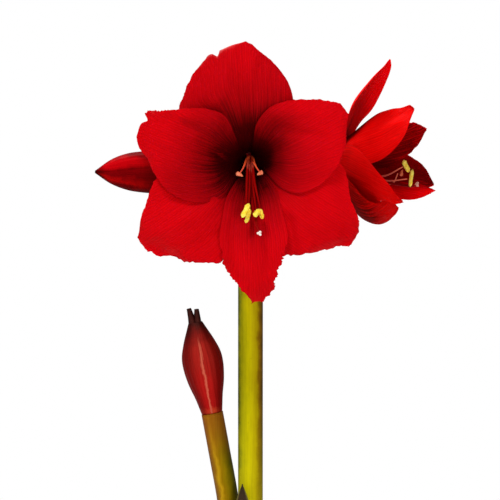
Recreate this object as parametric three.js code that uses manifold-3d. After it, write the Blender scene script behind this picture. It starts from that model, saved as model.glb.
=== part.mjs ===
// A potted amaryllis (Hippeastrum) in flower: a clay pot of soil, a bulb with its roots, young
// strap leaves, a tall scape with one open flower, one half-open flower and a closed bud, and a
// second, shorter scape with an unopened spathe.
// Millimetres, +Z up, the origin in the middle of the pot's base. The open flower faces -Y.
import * as THREE from 'three';
import { mergeVertices } from 'three/addons/utils/BufferGeometryUtils.js';
import Module from 'manifold-3d';

const wasm = await Module();
wasm.setup();

// Driving dimensions
const GAP = 0.3;                        // clear space between pieces that touch
const POT = { height: 130, foot: 51, rimOuter: 76, rimDepth: 26, rimStep: 4, wall: 6, floor: 9, sides: 40 };
const POT_DRAIN = { count: 3, radius: 5.5, from: 27 };
const SOIL_TOP = 108;
const BULB = { x: -4, y: 5, foot: 66, radius: 43, widest: 108, top: 168, neck: 30 };
const ROOT = { count: 6, radius: 2.2, reach: 24, tip: 24 };
const SOCKET = 14;                      // how deep a scape or leaf is set into the bulb's neck
const PETAL = 1.0;                      // thickness of a tepal
const LEAF = 2.0;                       // thickness of a leaf
const BRACT = 0.8;                      // thickness of a dry spathe valve
const SCAPE_MAIN = { radius: 9.8, x: 0.4, y: -2, top: 484 };
const SCAPE_SECOND = { radius: 8.6, top: 319 };
const TUBE_MOUTH = 7.6;                 // radius of the flower tube where the tepals begin
const SEAT = 1.0;                       // how far the tepals start above the flower tube

// Small helpers
const point = (x, y, z) => new THREE.Vector3(x, y, z);
const radians = THREE.MathUtils.degToRad;
const smooth = THREE.MathUtils.smoothstep;

function curveOf(points) {
  return new THREE.CatmullRomCurve3(points, false, 'catmullrom', 0.5);
}

function rowsAt(rows, q) {
  const first = curveOf(rows.map(([a, b]) => point(a, b, 0))).getPoint(q);
  const second = curveOf(rows.map(([, , c, d]) => point(c, d, 0))).getPoint(q);
  return [first.x, first.y, second.x, second.y];
}

function geometryOf(points, triangles) {
  const geometry = new THREE.BufferGeometry();
  const positions = points.flatMap((p) => [p.x, p.y, p.z]);
  geometry.setAttribute('position', new THREE.Float32BufferAttribute(positions, 3));
  geometry.setIndex(triangles);
  return geometry;
}

// Booleans on closed meshes
function solidOf(geometry) {
  const bare = geometry.clone();
  bare.deleteAttribute('normal');
  bare.deleteAttribute('uv');
  const merged = mergeVertices(bare, 1e-3);
  return new wasm.Manifold(new wasm.Mesh({
    numProp: 3,
    vertProperties: new Float32Array(merged.attributes.position.array),
    triVerts: new Uint32Array(merged.index.array),
  }));
}

function meshOf(solid) {
  const { vertProperties, triVerts } = solid.getMesh();
  const geometry = new THREE.BufferGeometry();
  geometry.setAttribute('position', new THREE.Float32BufferAttribute(vertProperties, 3));
  geometry.setIndex(Array.from(triVerts));
  return geometry;
}

function joined(geometries) {
  return meshOf(geometries.map(solidOf).reduce((sum, solid) => sum.add(solid)));
}

function cut(geometry, cutters) {
  return meshOf(cutters.map(solidOf).reduce((left, cutter) => left.subtract(cutter), solidOf(geometry)));
}

// A closed solid through a list of rings with the same number of points, capped at both ends
function loft(rings) {
  const sides = rings[0].length;
  const points = rings.flat();
  const triangles = [];
  for (let i = 0; i < rings.length - 1; i += 1) {
    for (let j = 0; j < sides; j += 1) {
      const k = (j + 1) % sides;
      const [a, b, c, d] = [i * sides + j, i * sides + k, (i + 1) * sides + k, (i + 1) * sides + j];
      triangles.push(a, b, c, a, c, d);
    }
  }
  const centre = (ring) => ring.reduce((sum, p) => sum.add(p), point(0, 0, 0)).divideScalar(sides);
  const last = (rings.length - 1) * sides;
  points.push(centre(rings[0]), centre(rings[rings.length - 1]));
  for (let j = 0; j < sides; j += 1) {
    const k = (j + 1) % sides;
    triangles.push(points.length - 2, k, j, points.length - 1, last + j, last + k);
  }
  return geometryOf(points, triangles);
}

// A tube of changing radius along a smooth path; shape(q, angle) scales the radius
function tube(path, radii, steps, sides, shape = () => 1) {
  const curve = curveOf(path);
  const frames = curve.computeFrenetFrames(steps, false);
  const size = curveOf(radii.map((r, i) => point(r, i, 0)));
  const rings = [];
  for (let i = 0; i <= steps; i += 1) {
    const q = i / steps;
    const centre = curve.getPointAt(q);
    rings.push(Array.from({ length: sides }, (_, j) => {
      const angle = (j / sides) * 2 * Math.PI;
      const r = size.getPoint(q).x * shape(q, angle);
      return centre.clone()
        .addScaledVector(frames.normals[i], r * Math.cos(angle))
        .addScaledVector(frames.binormals[i], r * Math.sin(angle));
    }));
  }
  return loft(rings);
}

// A closed thin blade. surface(q, u, offset) gives a point, q from base to tip, u from -1 to 1.
// Both faces are split along the same diagonals.
function blade(surface, thickness, rows, columns) {
  const points = [];
  for (const face of [0.5, -0.5]) {
    for (let i = 0; i <= rows; i += 1) {
      for (let j = 0; j <= columns; j += 1) {
        points.push(surface(i / rows, (2 * j) / columns - 1, face * thickness));
      }
    }
  }
  const at = (i, j, back) => back * (rows + 1) * (columns + 1) + i * (columns + 1) + j;
  const triangles = [];
  for (let i = 0; i < rows; i += 1) {
    for (let j = 0; j < columns; j += 1) {
      const [a, b, c, d] = [at(i, j, 0), at(i, j + 1, 0), at(i + 1, j + 1, 0), at(i + 1, j, 0)];
      const [e, f, g, h] = [at(i, j, 1), at(i, j + 1, 1), at(i + 1, j + 1, 1), at(i + 1, j, 1)];
      triangles.push(a, c, b, a, d, c, e, f, g, e, g, h);
    }
  }
  const wall = (a, b, c, d) => triangles.push(a, b, c, a, c, d);
  for (let i = 0; i < rows; i += 1) {
    wall(at(i, 0, 0), at(i, 0, 1), at(i + 1, 0, 1), at(i + 1, 0, 0));
    wall(at(i, columns, 1), at(i, columns, 0), at(i + 1, columns, 0), at(i + 1, columns, 1));
  }
  for (let j = 0; j < columns; j += 1) {
    wall(at(0, j, 0), at(0, j + 1, 0), at(0, j + 1, 1), at(0, j, 1));
    wall(at(rows, j, 1), at(rows, j + 1, 1), at(rows, j + 1, 0), at(rows, j, 0));
  }
  return geometryOf(points, triangles);
}

// Flowers
// A flower has a base point, an axis that it opens along, and two directions across it; angles
// run from the first to the second. Azimuth 0 faces -Y and azimuth 90 faces +X.
function flowerFrame(base, azimuth, pitch) {
  const turn = radians(azimuth);
  const rise = radians(pitch);
  const axis = point(Math.sin(turn) * Math.cos(rise), -Math.cos(turn) * Math.cos(rise), Math.sin(rise));
  const across = point(Math.cos(turn), Math.sin(turn), 0);
  const up = across.clone().cross(axis).negate();
  return { base, axis, across, up };
}

function inFlower({ base, axis, across, up }, x, y, height) {
  return base.clone().addScaledVector(across, x).addScaledVector(up, y).addScaledVector(axis, height);
}

const FRONT = flowerFrame(point(0, -38, 520), 0, -5);
const SIDE = flowerFrame(point(48.4, 0, 522), 70, 0);

// The open flower is one wide funnel: its height along the axis at a distance from the axis.
const FUNNEL = { depth: 80, start: 5.2, flare: 17, turnFrom: 58, turnBack: 0.0075 };

function funnelHeight(radius) {
  const climb = 1 - Math.exp(-(radius - FUNNEL.start) / FUNNEL.flare);
  return FUNNEL.depth * climb - FUNNEL.turnBack * Math.max(0, radius - FUNNEL.turnFrom) ** 2;
}

// A tepal follows rows of [distance from the axis, height, half width to either side in degrees].
// lift moves it off the common surface, rise adds to that towards the tip. cup bends its two
// margins inwards, or outwards where it is below zero, between two places along it.
function tepal(frame, { at, lift, rise = 0, cup = [0, 0, 0, 1], ruffle, rows }) {
  const surface = (q, u, offset) => {
    const [radius, height, left, right] = rowsAt(rows, q);
    const [r0, h0] = rowsAt(rows, Math.max(0, q - 0.01));
    const [r1, h1] = rowsAt(rows, Math.min(1, q + 0.01));
    const slope = new THREE.Vector2(r1 - r0, h1 - h0).normalize();
    const angle = radians(at + u * (u > 0 ? left : right));
    const [swing, waves, phase] = ruffle;
    const [cupLeft, cupRight, cupFrom, cupTo] = cup;
    const wave = Math.sin(2 * Math.PI * waves * q + phase + (u > 0 ? 2.1 : 0)) * smooth(q, 0.4, 0.8);
    const out = lift + rise * smooth(q, 0.3, 1) + swing * Math.abs(u) ** 2.5 * wave + offset
      + (u > 0 ? cupLeft : cupRight) * u * u * smooth(q, cupFrom, cupTo);
    const r = radius - slope.y * out;
    return inFlower(frame, r * Math.cos(angle), r * Math.sin(angle), SEAT + height + slope.x * out);
  };
  return blade(surface, PETAL, 12, 8);
}

const INNER = 1.2;
const OUTER = -1.2;
const onFunnel = (rows) => rows.map(([radius, left, right]) => [radius, funnelHeight(radius), left, right]);

const FRONT_TEPALS = {
  front_tepal_top: {
    at: 92, lift: OUTER, cup: [-1.5, -1.5, 0.3, 0.9], ruffle: [1.6, 2.5, 0.5],
    rows: onFunnel([[5.2, 56, 56], [9, 56, 56], [16, 56, 54], [28, 54, 50], [42, 54, 46], [58, 57, 35],
      [67, 50, 27], [73, 39.5, 20.5], [79, 30.5, 14], [85, 21, 6.5], [89.5, 11, 3], [91.8, 1, 1]]),
  },
  front_tepal_upper_left: {
    at: 157, lift: INNER, rise: 2, ruffle: [1.6, 3, 1],
    rows: onFunnel([[5.2, 56, 36], [9, 60, 35], [16, 66, 35], [28, 74, 40], [41, 66, 40], [52, 55.5, 30],
      [65, 39, 17], [74, 22, 9.5], [80, 16, 6], [84, 10.5, 4.5], [85.5, 7, 3]]),
  },
  front_tepal_upper_right: {
    at: 29, lift: INNER, rise: 2, ruffle: [1.6, 3, 2],
    rows: onFunnel([[5.2, 54, 54], [9, 53, 58], [16, 52, 62], [28, 53, 67], [40, 46.5, 62], [50, 37.5, 51],
      [60, 24.5, 37], [69, 15.5, 22], [75, 9.5, 11], [79, 6, 4], [80.5, 2, 1.5]]),
  },
  front_tepal_bottom: {
    at: 272, lift: INNER, rise: 3, ruffle: [1.2, 4, 0],
    rows: onFunnel([[5.2, 54, 40], [9, 52, 40], [18, 48, 40], [30, 42, 38], [45, 32, 30], [60, 26.5, 24.5],
      [68, 20.5, 20.5], [74, 16, 17.5], [82, 12, 12], [90, 9.3, 6.5], [97, 6.5, 3.3], [100.5, 3, 0.5]]),
  },
  front_tepal_lower_left: {
    at: 214, lift: OUTER, rise: -2, ruffle: [2, 3, 0],
    rows: onFunnel([[5.2, 53, 57], [9, 54, 58], [16, 54, 56], [28, 52, 52], [42, 50, 46], [58, 47, 34],
      [73, 40, 23.5], [84, 28.5, 13], [92, 18.5, 7.5], [98, 10.5, 4], [101.5, 5, 1]]),
  },
  front_tepal_lower_right: {
    at: 328, lift: OUTER, rise: -2, ruffle: [2, 3, 3],
    rows: onFunnel([[5.2, 55, 55], [9, 55, 55], [16, 54, 54], [28, 50, 54], [42, 46, 52], [58, 41, 48],
      [70, 29.5, 40], [80, 13.5, 24.5], [89.5, 6, 12.5], [95, 2.8, 8.2], [97.8, 0.8, 4.6]]),
  },
};

const SIDE_TEPALS = {
  side_tepal_top: {
    at: 90, lift: OUTER, cup: [1, 1, 0.3, 0.9], ruffle: [0.8, 2.5, 0.5],
    rows: [[5.2, 0, 56, 56], [8, 14, 54, 52], [15, 26, 46, 40], [32, 35.5, 39, 29], [48, 43, 41, 33],
      [62.5, 54, 25, 21], [72, 62, 6.5, 7.5], [77.8, 66, 0.8, 0.8]],
  },
  side_tepal_near_upper: {
    at: 147, lift: INNER, cup: [0, -2.2, 0.1, 0.35], ruffle: [0.8, 2.5, 1],
    rows: [[5.2, 0, 54, 54], [9.5, 17, 56, 54], [19, 33, 55, 60], [31.5, 51, 45.5, 53], [41, 69, 36.5, 27],
      [51, 83, 25.5, 12.5], [59.5, 93.5, 15.5, 7], [65, 98.5, 1.5, 1.5]],
  },
  side_tepal_near_lower: {
    at: 212, lift: OUTER, rise: 1.8, ruffle: [0.8, 2.5, 2],
    rows: [[5.2, 0, 22, 56], [9, 16, 22, 62], [17.5, 32, 43, 64], [30, 46, 48, 48], [40.5, 59, 24, 30],
      [52, 71, 9, 16], [61, 82, 5, 7], [67, 91, 1, 1]],
  },
  side_tepal_bottom: {
    at: 258, lift: INNER, ruffle: [0.8, 2.5, 0],
    rows: [[5.2, 0, 16, 20], [10, 14, 16, 15], [22, 25, 32, 25], [39, 35, 62, 56], [49, 45, 62, 54],
      [52.5, 55.5, 40, 40.5], [48.8, 65.5, 18, 29.2], [44.5, 71, 10, 34], [39.5, 74.5, 3, 18]],
  },
  side_tepal_far_lower: {
    at: 330, lift: OUTER, ruffle: [1.2, 2.5, 0],
    rows: [[5.2, 0, 56, 50], [10, 18, 56, 50], [19, 36, 50, 44], [30, 53, 43, 34], [38, 68, 37, 24],
      [42, 80, 25.5, 14], [44.5, 87.5, 11, 7], [46, 92.5, 1, 1]],
  },
  side_tepal_far_upper: {
    at: 30, lift: INNER, ruffle: [1.2, 2.5, 3],
    rows: [[5.2, 0, 54, 54], [9, 18, 56, 56], [16, 36, 54, 54], [25, 52, 42, 46], [33, 65, 28, 29],
      [42, 74.5, 16, 14], [47.5, 79.5, 7, 6], [51, 82, 1, 1]],
  },
};

// Stamens and style bend down in the throat and up again at their ends. A stamen is a path of
// [across, up, along] points in its flower, and the run of the anther that lies across its end.
const FILAMENT = { base: 0.8, tip: 0.7, ring: 2.9, ringDepth: 2.5, eye: 1.6 };
const ANTHER = { radius: 1.9, gap: 0.35 };
const STIGMA = 1.9;                     // how far each lobe of the stigma spreads

const FRONT_STAMENS = [
  { path: [[-2, 0.5, 1], [-1.8, 2.4, 30], [-2.4, -13.5, 62], [-3, -32.6, 86]], anther: [-5.4, -10.4, 2] },
  { path: [[-1.9, -0.9, 1], [-0.4, 1, 30], [-0.5, -17.5, 62], [-1.4, -37, 80]], anther: [-3.2, -10.4, 2] },
  { path: [[1.9, -0.9, 1], [1.3, 0, 30], [2.4, -17.5, 62], [4.8, -35.4, 84.5]], anther: [4.4, 5.2, 2] },
  { path: [[2, 0.5, 1], [1.6, 2.6, 30], [3.4, -13.5, 62], [8.3, -35.6, 80]], anther: [1.8, -7.4, 2] },
  { path: [[-1.2, 1.7, 1], [-0.8, 3.8, 26], [-2.8, 2.4, 37], [-3.9, -0.6, 47],
      [-5.6, -4.4, 53], [-8.2, -8, 57]], anther: [5.4, -2.2, 1.2] },
  { path: [[1.2, 1.7, 1], [1, 3.8, 26], [2.6, 2.4, 37], [3.3, -0.4, 47], [5.2, -3.6, 53],
      [7.8, -7, 57]], anther: [-4.6, -2.4, 1.2] },
];
const FRONT_STYLE = [[0, 0, 1], [0.2, -3.5, 16], [0.4, -8.4, 36], [1.4, -26.5, 64], [4.6, -43, 86],
  [7, -49.8, 92]];

const SIDE_STAMENS = [
  { path: [[-2, 0.5, 1], [-5, -11, 34], [-6, -14, 61], [-8, -7, 78.6]], anther: [-1.5, 9.6, -4.2] },
  { path: [[-1.9, -0.9, 1], [-4, -6, 30], [-8, -17, 62], [-9, -16.5, 82.5]], anther: [0, 13.8, 1.8] },
  { path: [[1.2, 1.7, 1], [3.4, -7, 30], [3.2, -18.6, 60], [2.6, -18.6, 68],
      [1.5, -11.5, 72]], anther: [0.4, 5.4, 1] },
  { path: [[2, 0.3, 1], [5, 1, 24], [9, -1, 40]], anther: [0.6, 4, 4] },
  { path: [[1.9, -0.9, 1], [3.6, -2.6, 24], [5, -4.6, 41]], anther: [0.6, 4, 4] },
  { path: [[-1.2, 1.7, 1], [-3.4, 3, 22], [-6, 3, 38]], anther: [-1, 4, 4] },
];
const SIDE_STYLE = [[0, 0, 1], [-0.3, -2.6, 14], [-1, -9, 34], [-3, -18, 62], [-4, -22, 84],
  [-4, -20.5, 89]];

function stamenPath(frame, { path }) {
  return path.map(([x, y, h]) => inFlower(frame, x, y, h));
}

function filaments(frame, stamens) {
  const ring = tube([inFlower(frame, 0, 0, GAP), inFlower(frame, 0, 0, FILAMENT.ringDepth)],
    [FILAMENT.ring, FILAMENT.ring], 1, 12);
  const hole = tube([inFlower(frame, 0, 0, -1), inFlower(frame, 0, 0, FILAMENT.ringDepth + 1)],
    [FILAMENT.eye, FILAMENT.eye], 1, 8);
  const threads = stamens.map((s) => tube(stamenPath(frame, s), [FILAMENT.base, FILAMENT.tip], 8, 5));
  return cut(joined([ring, ...threads]), [hole]);
}

// A stubby banana that lies across its filament's end, a little clear of it
function anther(frame, stamen) {
  const [x, y, h] = stamen.path[stamen.path.length - 1];
  const [dx, dy, dh] = stamen.anther;
  const clear = FILAMENT.tip + ANTHER.radius + ANTHER.gap;
  const across = point(0, -dh, dy).normalize().multiplyScalar(0.6);
  const at = (k, bow) => inFlower(frame, x + dx * k, y + dy * k + across.y * bow,
    h + clear + dh * k + Math.abs(across.z) * bow);
  return tube([at(-0.45, 0.4), at(-0.15, 0), at(0.2, 0), at(0.55, 0.8)],
    [0.5, 0.9, 1, 1, 0.8, 0.4].map((k) => k * ANTHER.radius), 6, 6);
}

function styleWithStigma(frame, path) {
  const points = path.map(([x, y, h]) => inFlower(frame, x, y, h));
  const stem = tube(points, [0.8, 0.85, 0.9, 0.9], 11, 6);
  const end = path[path.length - 1];
  const lobes = [60, 180, 300].map((angle) => {
    const [x, y] = [Math.cos(radians(angle)), Math.sin(radians(angle))];
    return tube([inFlower(frame, end[0], end[1], end[2] - 1.2),
      inFlower(frame, end[0] + STIGMA * x, end[1] + STIGMA * y, end[2] + 1.2)], [0.7, 0.8, 0.9, 0.6], 3, 6);
  });
  return joined([stem, ...lobes]);
}

// The stalk of a bloom: pedicel, three-sided ovary, then the flower tube that carries the tepals
const STALK = { pedicel: 4.2, ovary: 6.2, waist: 5 };

function stalk(path, mouth) {
  const { pedicel, ovary, waist } = STALK;
  const swell = (q) => smooth(q, 0.45, 0.6) * (1 - smooth(q, 0.75, 0.9));
  const lobed = (q, angle) => 1 + 0.07 * Math.sin(3 * angle) * swell(q);
  return tube(path, [pedicel, pedicel, pedicel, pedicel + 0.3, ovary, ovary, waist, mouth - 0.8, mouth],
    12, 14, lobed);
}

const upFromScape = (x, y) => [SCAPE_MAIN.top + GAP, SCAPE_MAIN.top + 6].map((z) => point(x, y, z));
const FRONT_STALK = [...upFromScape(0, -7), point(0, -9, 500), point(0, -14, 512),
  inFlower(FRONT, 0, 0, -13), inFlower(FRONT, 0, 0, 0)];
const SIDE_STALK = [...upFromScape(5.4, 1), point(7, 2.4, 499), point(14, 4.5, 511),
  point(26, 5.5, 519.5), inFlower(SIDE, 0, 0, -12), inFlower(SIDE, 0, 0, 0)];
const BUD_STALK = [...upFromScape(-4.6, 1), point(-7, 1.6, 498), point(-14, 1, 504),
  point(-24, 0, 506.4), point(-36, 0, 507.6)];

// The closed bud: six tepals wrapped tight, so its section is a soft three-sided one that turns
const BUD = { from: point(-36 - GAP, 0, 507.6), to: point(-124, 0, 512.5), turn: 0.6 };

function bud() {
  const path = [0, 0.35, 0.7, 1].map((k) => BUD.from.clone().lerp(BUD.to, k)
    .add(point(0, 0, 1.5 * Math.sin(Math.PI * k))));
  const lobed = (q, angle) => 1 + 0.045 * Math.sin(3 * (angle + BUD.turn * q));
  return tube(path, [6.3, 9.8, 14, 16.4, 16.2, 14.2, 9.4, 0.9], 14, 18, lobed);
}

// The unopened spathe of the second scape: two valves pressed together, ending in two horns.
// Its rows are [height, radius] along the scape's own lean.
const SPATHE = {
  rows: [[0, 8], [5, 9], [14, 10.8], [26, 13.8], [38, 15.4], [48, 15], [58, 12], [66, 8.8], [74, 5.4]],
  thick: 0.82, hornFrom: 62, hornTop: 86,
};

function spatheBud() {
  const { rows, thick, hornFrom, hornTop } = SPATHE;
  const ring = (height, radius) => Array.from({ length: 18 }, (_, j) => {
    const angle = (j / 18) * 2 * Math.PI;
    const keel = 1 + 0.06 * Math.cos(2 * angle);
    return point(radius * keel * Math.cos(angle), radius * keel * thick * Math.sin(angle), height);
  });
  const body = loft(rows.map(([height, radius]) => ring(height, radius)));
  const horn = (side, top) => tube([point(side * 2.6, 0, hornFrom), point(side * 3, 0, hornFrom + 12),
    point(side * 3.2, 0, top)], [3.4, 3.2, 2.6, 0.7], 6, 8);
  const geometry = joined([body, horn(-1, hornTop), horn(1, hornTop - 1.5)]);
  const [before, end] = SECOND_PATH.slice(-2);
  const lean = end.clone().sub(before).normalize();
  geometry.applyQuaternion(new THREE.Quaternion().setFromUnitVectors(point(0, 0, 1), lean));
  const foot = end.clone().addScaledVector(lean, GAP);
  geometry.translate(foot.x, foot.y, foot.z);
  return geometry;
}

// Scapes
const SECOND_PATH = [point(-11, 17, 150), point(-11.4, 16.6, 175), point(-13.2, 14.4, 212),
  point(-17.9, 11.4, 250), point(-24.3, 9, 286), point(-30.4, 7, SCAPE_SECOND.top)];

function mainScape(spare = 0) {
  const { radius, x, y, top } = SCAPE_MAIN;
  return tube([point(x, y, BULB.top - SOCKET - spare), point(x, y, 300), point(x, y, top)],
    [radius, radius, radius].map((r) => r + spare), 8, 18);
}

function secondScape(spare = 0) {
  const start = BULB.top - SOCKET - spare;
  const path = [point(-11, 17, start), ...SECOND_PATH.slice(1)];
  return tube(path, SECOND_PATH.map(() => SCAPE_SECOND.radius + spare), 10, 18);
}

// The two dry valves that the open umbel has left behind, hanging close behind the open flower
function bract(side) {
  const surface = (q, u, offset) => {
    const width = 9 * (0.55 + 0.6 * q) * (1 - 0.9 * q ** 4);
    const angle = radians(side > 0 ? 20 : 160) + (u * width) / 13;
    const out = 10.8 + 12 * q - 8 * q * q + offset;
    const droop = 476 - 38 * q + 6 * Math.sin(Math.PI * q);
    return point(SCAPE_MAIN.x + out * Math.cos(angle), SCAPE_MAIN.y + out * Math.sin(angle), droop);
  };
  return blade(surface, BRACT, 8, 6);
}

// Young strap leaves, channelled towards the scapes, with blunt pointed tips
const LEAVES = {
  leaf_front: { at: -96, from: 20.6, tip: 264.5, lean: -0.8, width: 11.5, bend: 20 },
  leaf_right: { at: 8, from: 21.5, tip: 226, lean: 6, width: 12.5, bend: 20 },
  leaf_back: { at: 74, from: 25.6, tip: 240, lean: 4, width: 12, bend: 22 },
  leaf_left: { at: 192, from: 20.6, tip: 214, lean: 9, width: 12, bend: 19 },
};

function leaf({ at, from, tip, lean, width, bend }, spare = 0) {
  const start = BULB.top - SOCKET - spare;
  const turn = radians(at);
  const outward = point(Math.cos(turn), Math.sin(turn), 0);
  const sideways = point(-Math.sin(turn), Math.cos(turn), 0);
  const surface = (q, u, offset) => {
    const half = width * Math.min(1, 1.02 * (1 - q ** 5)) * (1 - 0.12 * q) * (q > 0.999 ? 0.12 : 1) + spare;
    const angle = (u * half) / bend;
    const out = from + lean * q * q + bend * (Math.cos(angle) - 1) + offset * Math.cos(angle);
    return point(BULB.x, BULB.y, start + (tip - start) * q)
      .addScaledVector(outward, out)
      .addScaledVector(sideways, (bend + offset) * Math.sin(angle));
  };
  return blade((q, u, offset) => surface(q, -u, offset), LEAF + 2 * spare, 12, 5);
}

// Bulb, roots, soil and pot
function bulbBody(spare = 0) {
  const { x, y, foot, radius, widest, top, neck } = BULB;
  const profile = curveOf([point(17, foot, 0), point(31, foot + 9, 0), point(radius - 2, foot + 24, 0),
    point(radius, widest, 0), point(radius - 5, widest + 22, 0), point(neck + 3, top - 18, 0),
    point(neck, top, 0)]).getPoints(12);
  const outline = profile.map((p) => new THREE.Vector2(p.x + spare, p.y));
  outline[0].y -= spare;
  outline[outline.length - 1].y += spare;
  const rings = [new THREE.Vector2(0, outline[0].y), ...outline, new THREE.Vector2(0, outline.at(-1).y)];
  const geometry = new THREE.LatheGeometry(rings, 26);
  geometry.rotateX(Math.PI / 2);
  geometry.translate(x, y, 0);
  return geometry;
}

function roots(spare = 0) {
  return Array.from({ length: ROOT.count }, (_, i) => {
    const turn = (i / ROOT.count) * 2 * Math.PI + 0.3 * (i % 2);
    const tip = ROOT.tip + 7 * (i % 3);
    const at = (out, z) => point(BULB.x + out * Math.cos(turn), BULB.y + out * Math.sin(turn), z);
    const start = [at(11, BULB.foot + 8), at(15, BULB.foot - 4)];
    const end = [at(ROOT.reach, (BULB.foot + tip) / 2), at(ROOT.reach + 4, tip - spare)];
    const radii = [ROOT.radius, ROOT.radius, ROOT.radius * 0.6].map((r) => r + spare);
    return tube([...start, ...end], radii, 5, 6);
  });
}

function bulb() {
  const sockets = [mainScape(GAP), secondScape(GAP), ...Object.values(LEAVES).map((l) => leaf(l, GAP))];
  return cut(joined([bulbBody(), ...roots()]), sockets);
}

function lathe(outline, sides) {
  const geometry = new THREE.LatheGeometry(outline.map(([r, z]) => new THREE.Vector2(r, z)), sides);
  geometry.rotateX(Math.PI / 2);
  return geometry;
}

const potRadius = (z) => POT.foot + ((POT.rimOuter - POT.rimStep - POT.foot) * z) / POT.height;

function pot() {
  const { height, foot, rimOuter, rimDepth, wall, floor } = POT;
  const rim = height - rimDepth;
  const outside = [[0, 0], [foot - 1.5, 0], [foot, 1.5], [potRadius(rim), rim],
    [rimOuter - 1.2, rim + 1.2], [rimOuter, height - 2], [rimOuter - 2, height]];
  const mouth = potRadius(height) - wall;
  const inside = [[mouth + 1.5, height], [mouth, height - 1.5], [potRadius(floor) - wall, floor], [0, floor]];
  const body = lathe([...outside, ...inside], POT.sides);
  const holes = Array.from({ length: POT_DRAIN.count }, (_, i) => {
    const turn = (i / POT_DRAIN.count) * 2 * Math.PI + 0.5;
    const [x, y] = [POT_DRAIN.from * Math.cos(turn), POT_DRAIN.from * Math.sin(turn)];
    return tube([point(x, y, -2), point(x, y, floor + 2)], [POT_DRAIN.radius, POT_DRAIN.radius], 1, 16);
  });
  return cut(body, holes);
}

function soil() {
  const { wall, floor } = POT;
  const side = (z) => potRadius(z) - wall - GAP;
  const bottom = floor + GAP;
  const ground = lathe([[0, bottom], [side(bottom), bottom], [side(SOIL_TOP - 3), SOIL_TOP - 3],
    [side(SOIL_TOP) - 4, SOIL_TOP - 1], [BULB.radius + 8, SOIL_TOP], [0, SOIL_TOP + 1]], POT.sides);
  return cut(ground, [bulbBody(GAP), ...roots(GAP)]);
}

// The scene
const COLOURS = {
  clay: [0xb5633f, 0.9], soil: [0x3b2a1e, 1], tunic: [0x8a5a33, 0.75], leaf: [0x5c6a22, 0.5],
  scape: [0xa89210, 0.45], stalk: [0x7f8420, 0.5], red: [0xbe0410, 0.5], redBud: [0xa4060c, 0.4],
  spathe: [0x94241c, 0.5], dry: [0x8a4a30, 0.8], filament: [0xc4402c, 0.5], pollen: [0xf6d048, 0.9],
};

const plant = new THREE.Group();

function add(name, geometry, colour) {
  const [color, roughness] = COLOURS[colour];
  const mesh = new THREE.Mesh(geometry, new THREE.MeshStandardMaterial({ color, roughness, metalness: 0 }));
  mesh.name = name;
  plant.add(mesh);
}

add('pot', pot(), 'clay');
add('soil', soil(), 'soil');
add('bulb', bulb(), 'tunic');
for (const [name, size] of Object.entries(LEAVES)) {
  add(name, leaf(size), 'leaf');
}
add('scape_main', mainScape(), 'scape');
add('scape_second', secondScape(), 'scape');
add('spathe_bud', spatheBud(), 'spathe');
add('bract_left', bract(-1), 'dry');
add('bract_right', bract(1), 'dry');
add('stalk_front', stalk(FRONT_STALK, TUBE_MOUTH), 'stalk');
add('stalk_side', stalk(SIDE_STALK, TUBE_MOUTH), 'stalk');
add('stalk_bud', stalk(BUD_STALK, 6.3), 'stalk');
add('bud', bud(), 'redBud');
for (const [name, size] of Object.entries(FRONT_TEPALS)) {
  add(name, tepal(FRONT, size), 'red');
}
for (const [name, size] of Object.entries(SIDE_TEPALS)) {
  add(name, tepal(SIDE, size), 'red');
}
for (const [bloom, frame, stamens, style] of [['front', FRONT, FRONT_STAMENS, FRONT_STYLE],
  ['side', SIDE, SIDE_STAMENS, SIDE_STYLE]]) {
  add(`${bloom}_filaments`, filaments(frame, stamens), 'filament');
  add(`${bloom}_style`, styleWithStigma(frame, style), 'filament');
  stamens.forEach((s, i) => add(`${bloom}_anther_${i + 1}`, anther(frame, s), 'pollen'));
}

export default plant;
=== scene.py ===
import math

import bpy
import numpy as np
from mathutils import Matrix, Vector


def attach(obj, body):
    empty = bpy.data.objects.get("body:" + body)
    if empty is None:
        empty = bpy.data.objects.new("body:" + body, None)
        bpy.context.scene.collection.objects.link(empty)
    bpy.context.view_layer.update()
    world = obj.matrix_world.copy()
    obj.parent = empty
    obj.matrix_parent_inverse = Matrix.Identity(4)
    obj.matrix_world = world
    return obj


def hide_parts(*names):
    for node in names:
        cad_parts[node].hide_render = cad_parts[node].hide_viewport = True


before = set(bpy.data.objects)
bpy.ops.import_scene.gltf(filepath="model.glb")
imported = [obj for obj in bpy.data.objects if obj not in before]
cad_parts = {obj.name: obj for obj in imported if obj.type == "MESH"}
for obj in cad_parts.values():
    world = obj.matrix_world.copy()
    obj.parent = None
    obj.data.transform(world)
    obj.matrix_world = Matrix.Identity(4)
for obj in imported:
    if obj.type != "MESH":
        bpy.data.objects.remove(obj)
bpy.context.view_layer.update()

# A potted amaryllis in flower. Shapes are worked out in millimetres, +Z up, the origin in the middle
# of the pot's base; the open flower faces -Y. MM turns them into Blender's metres.
MM = 0.001
TURN = 2 * math.pi

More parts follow.
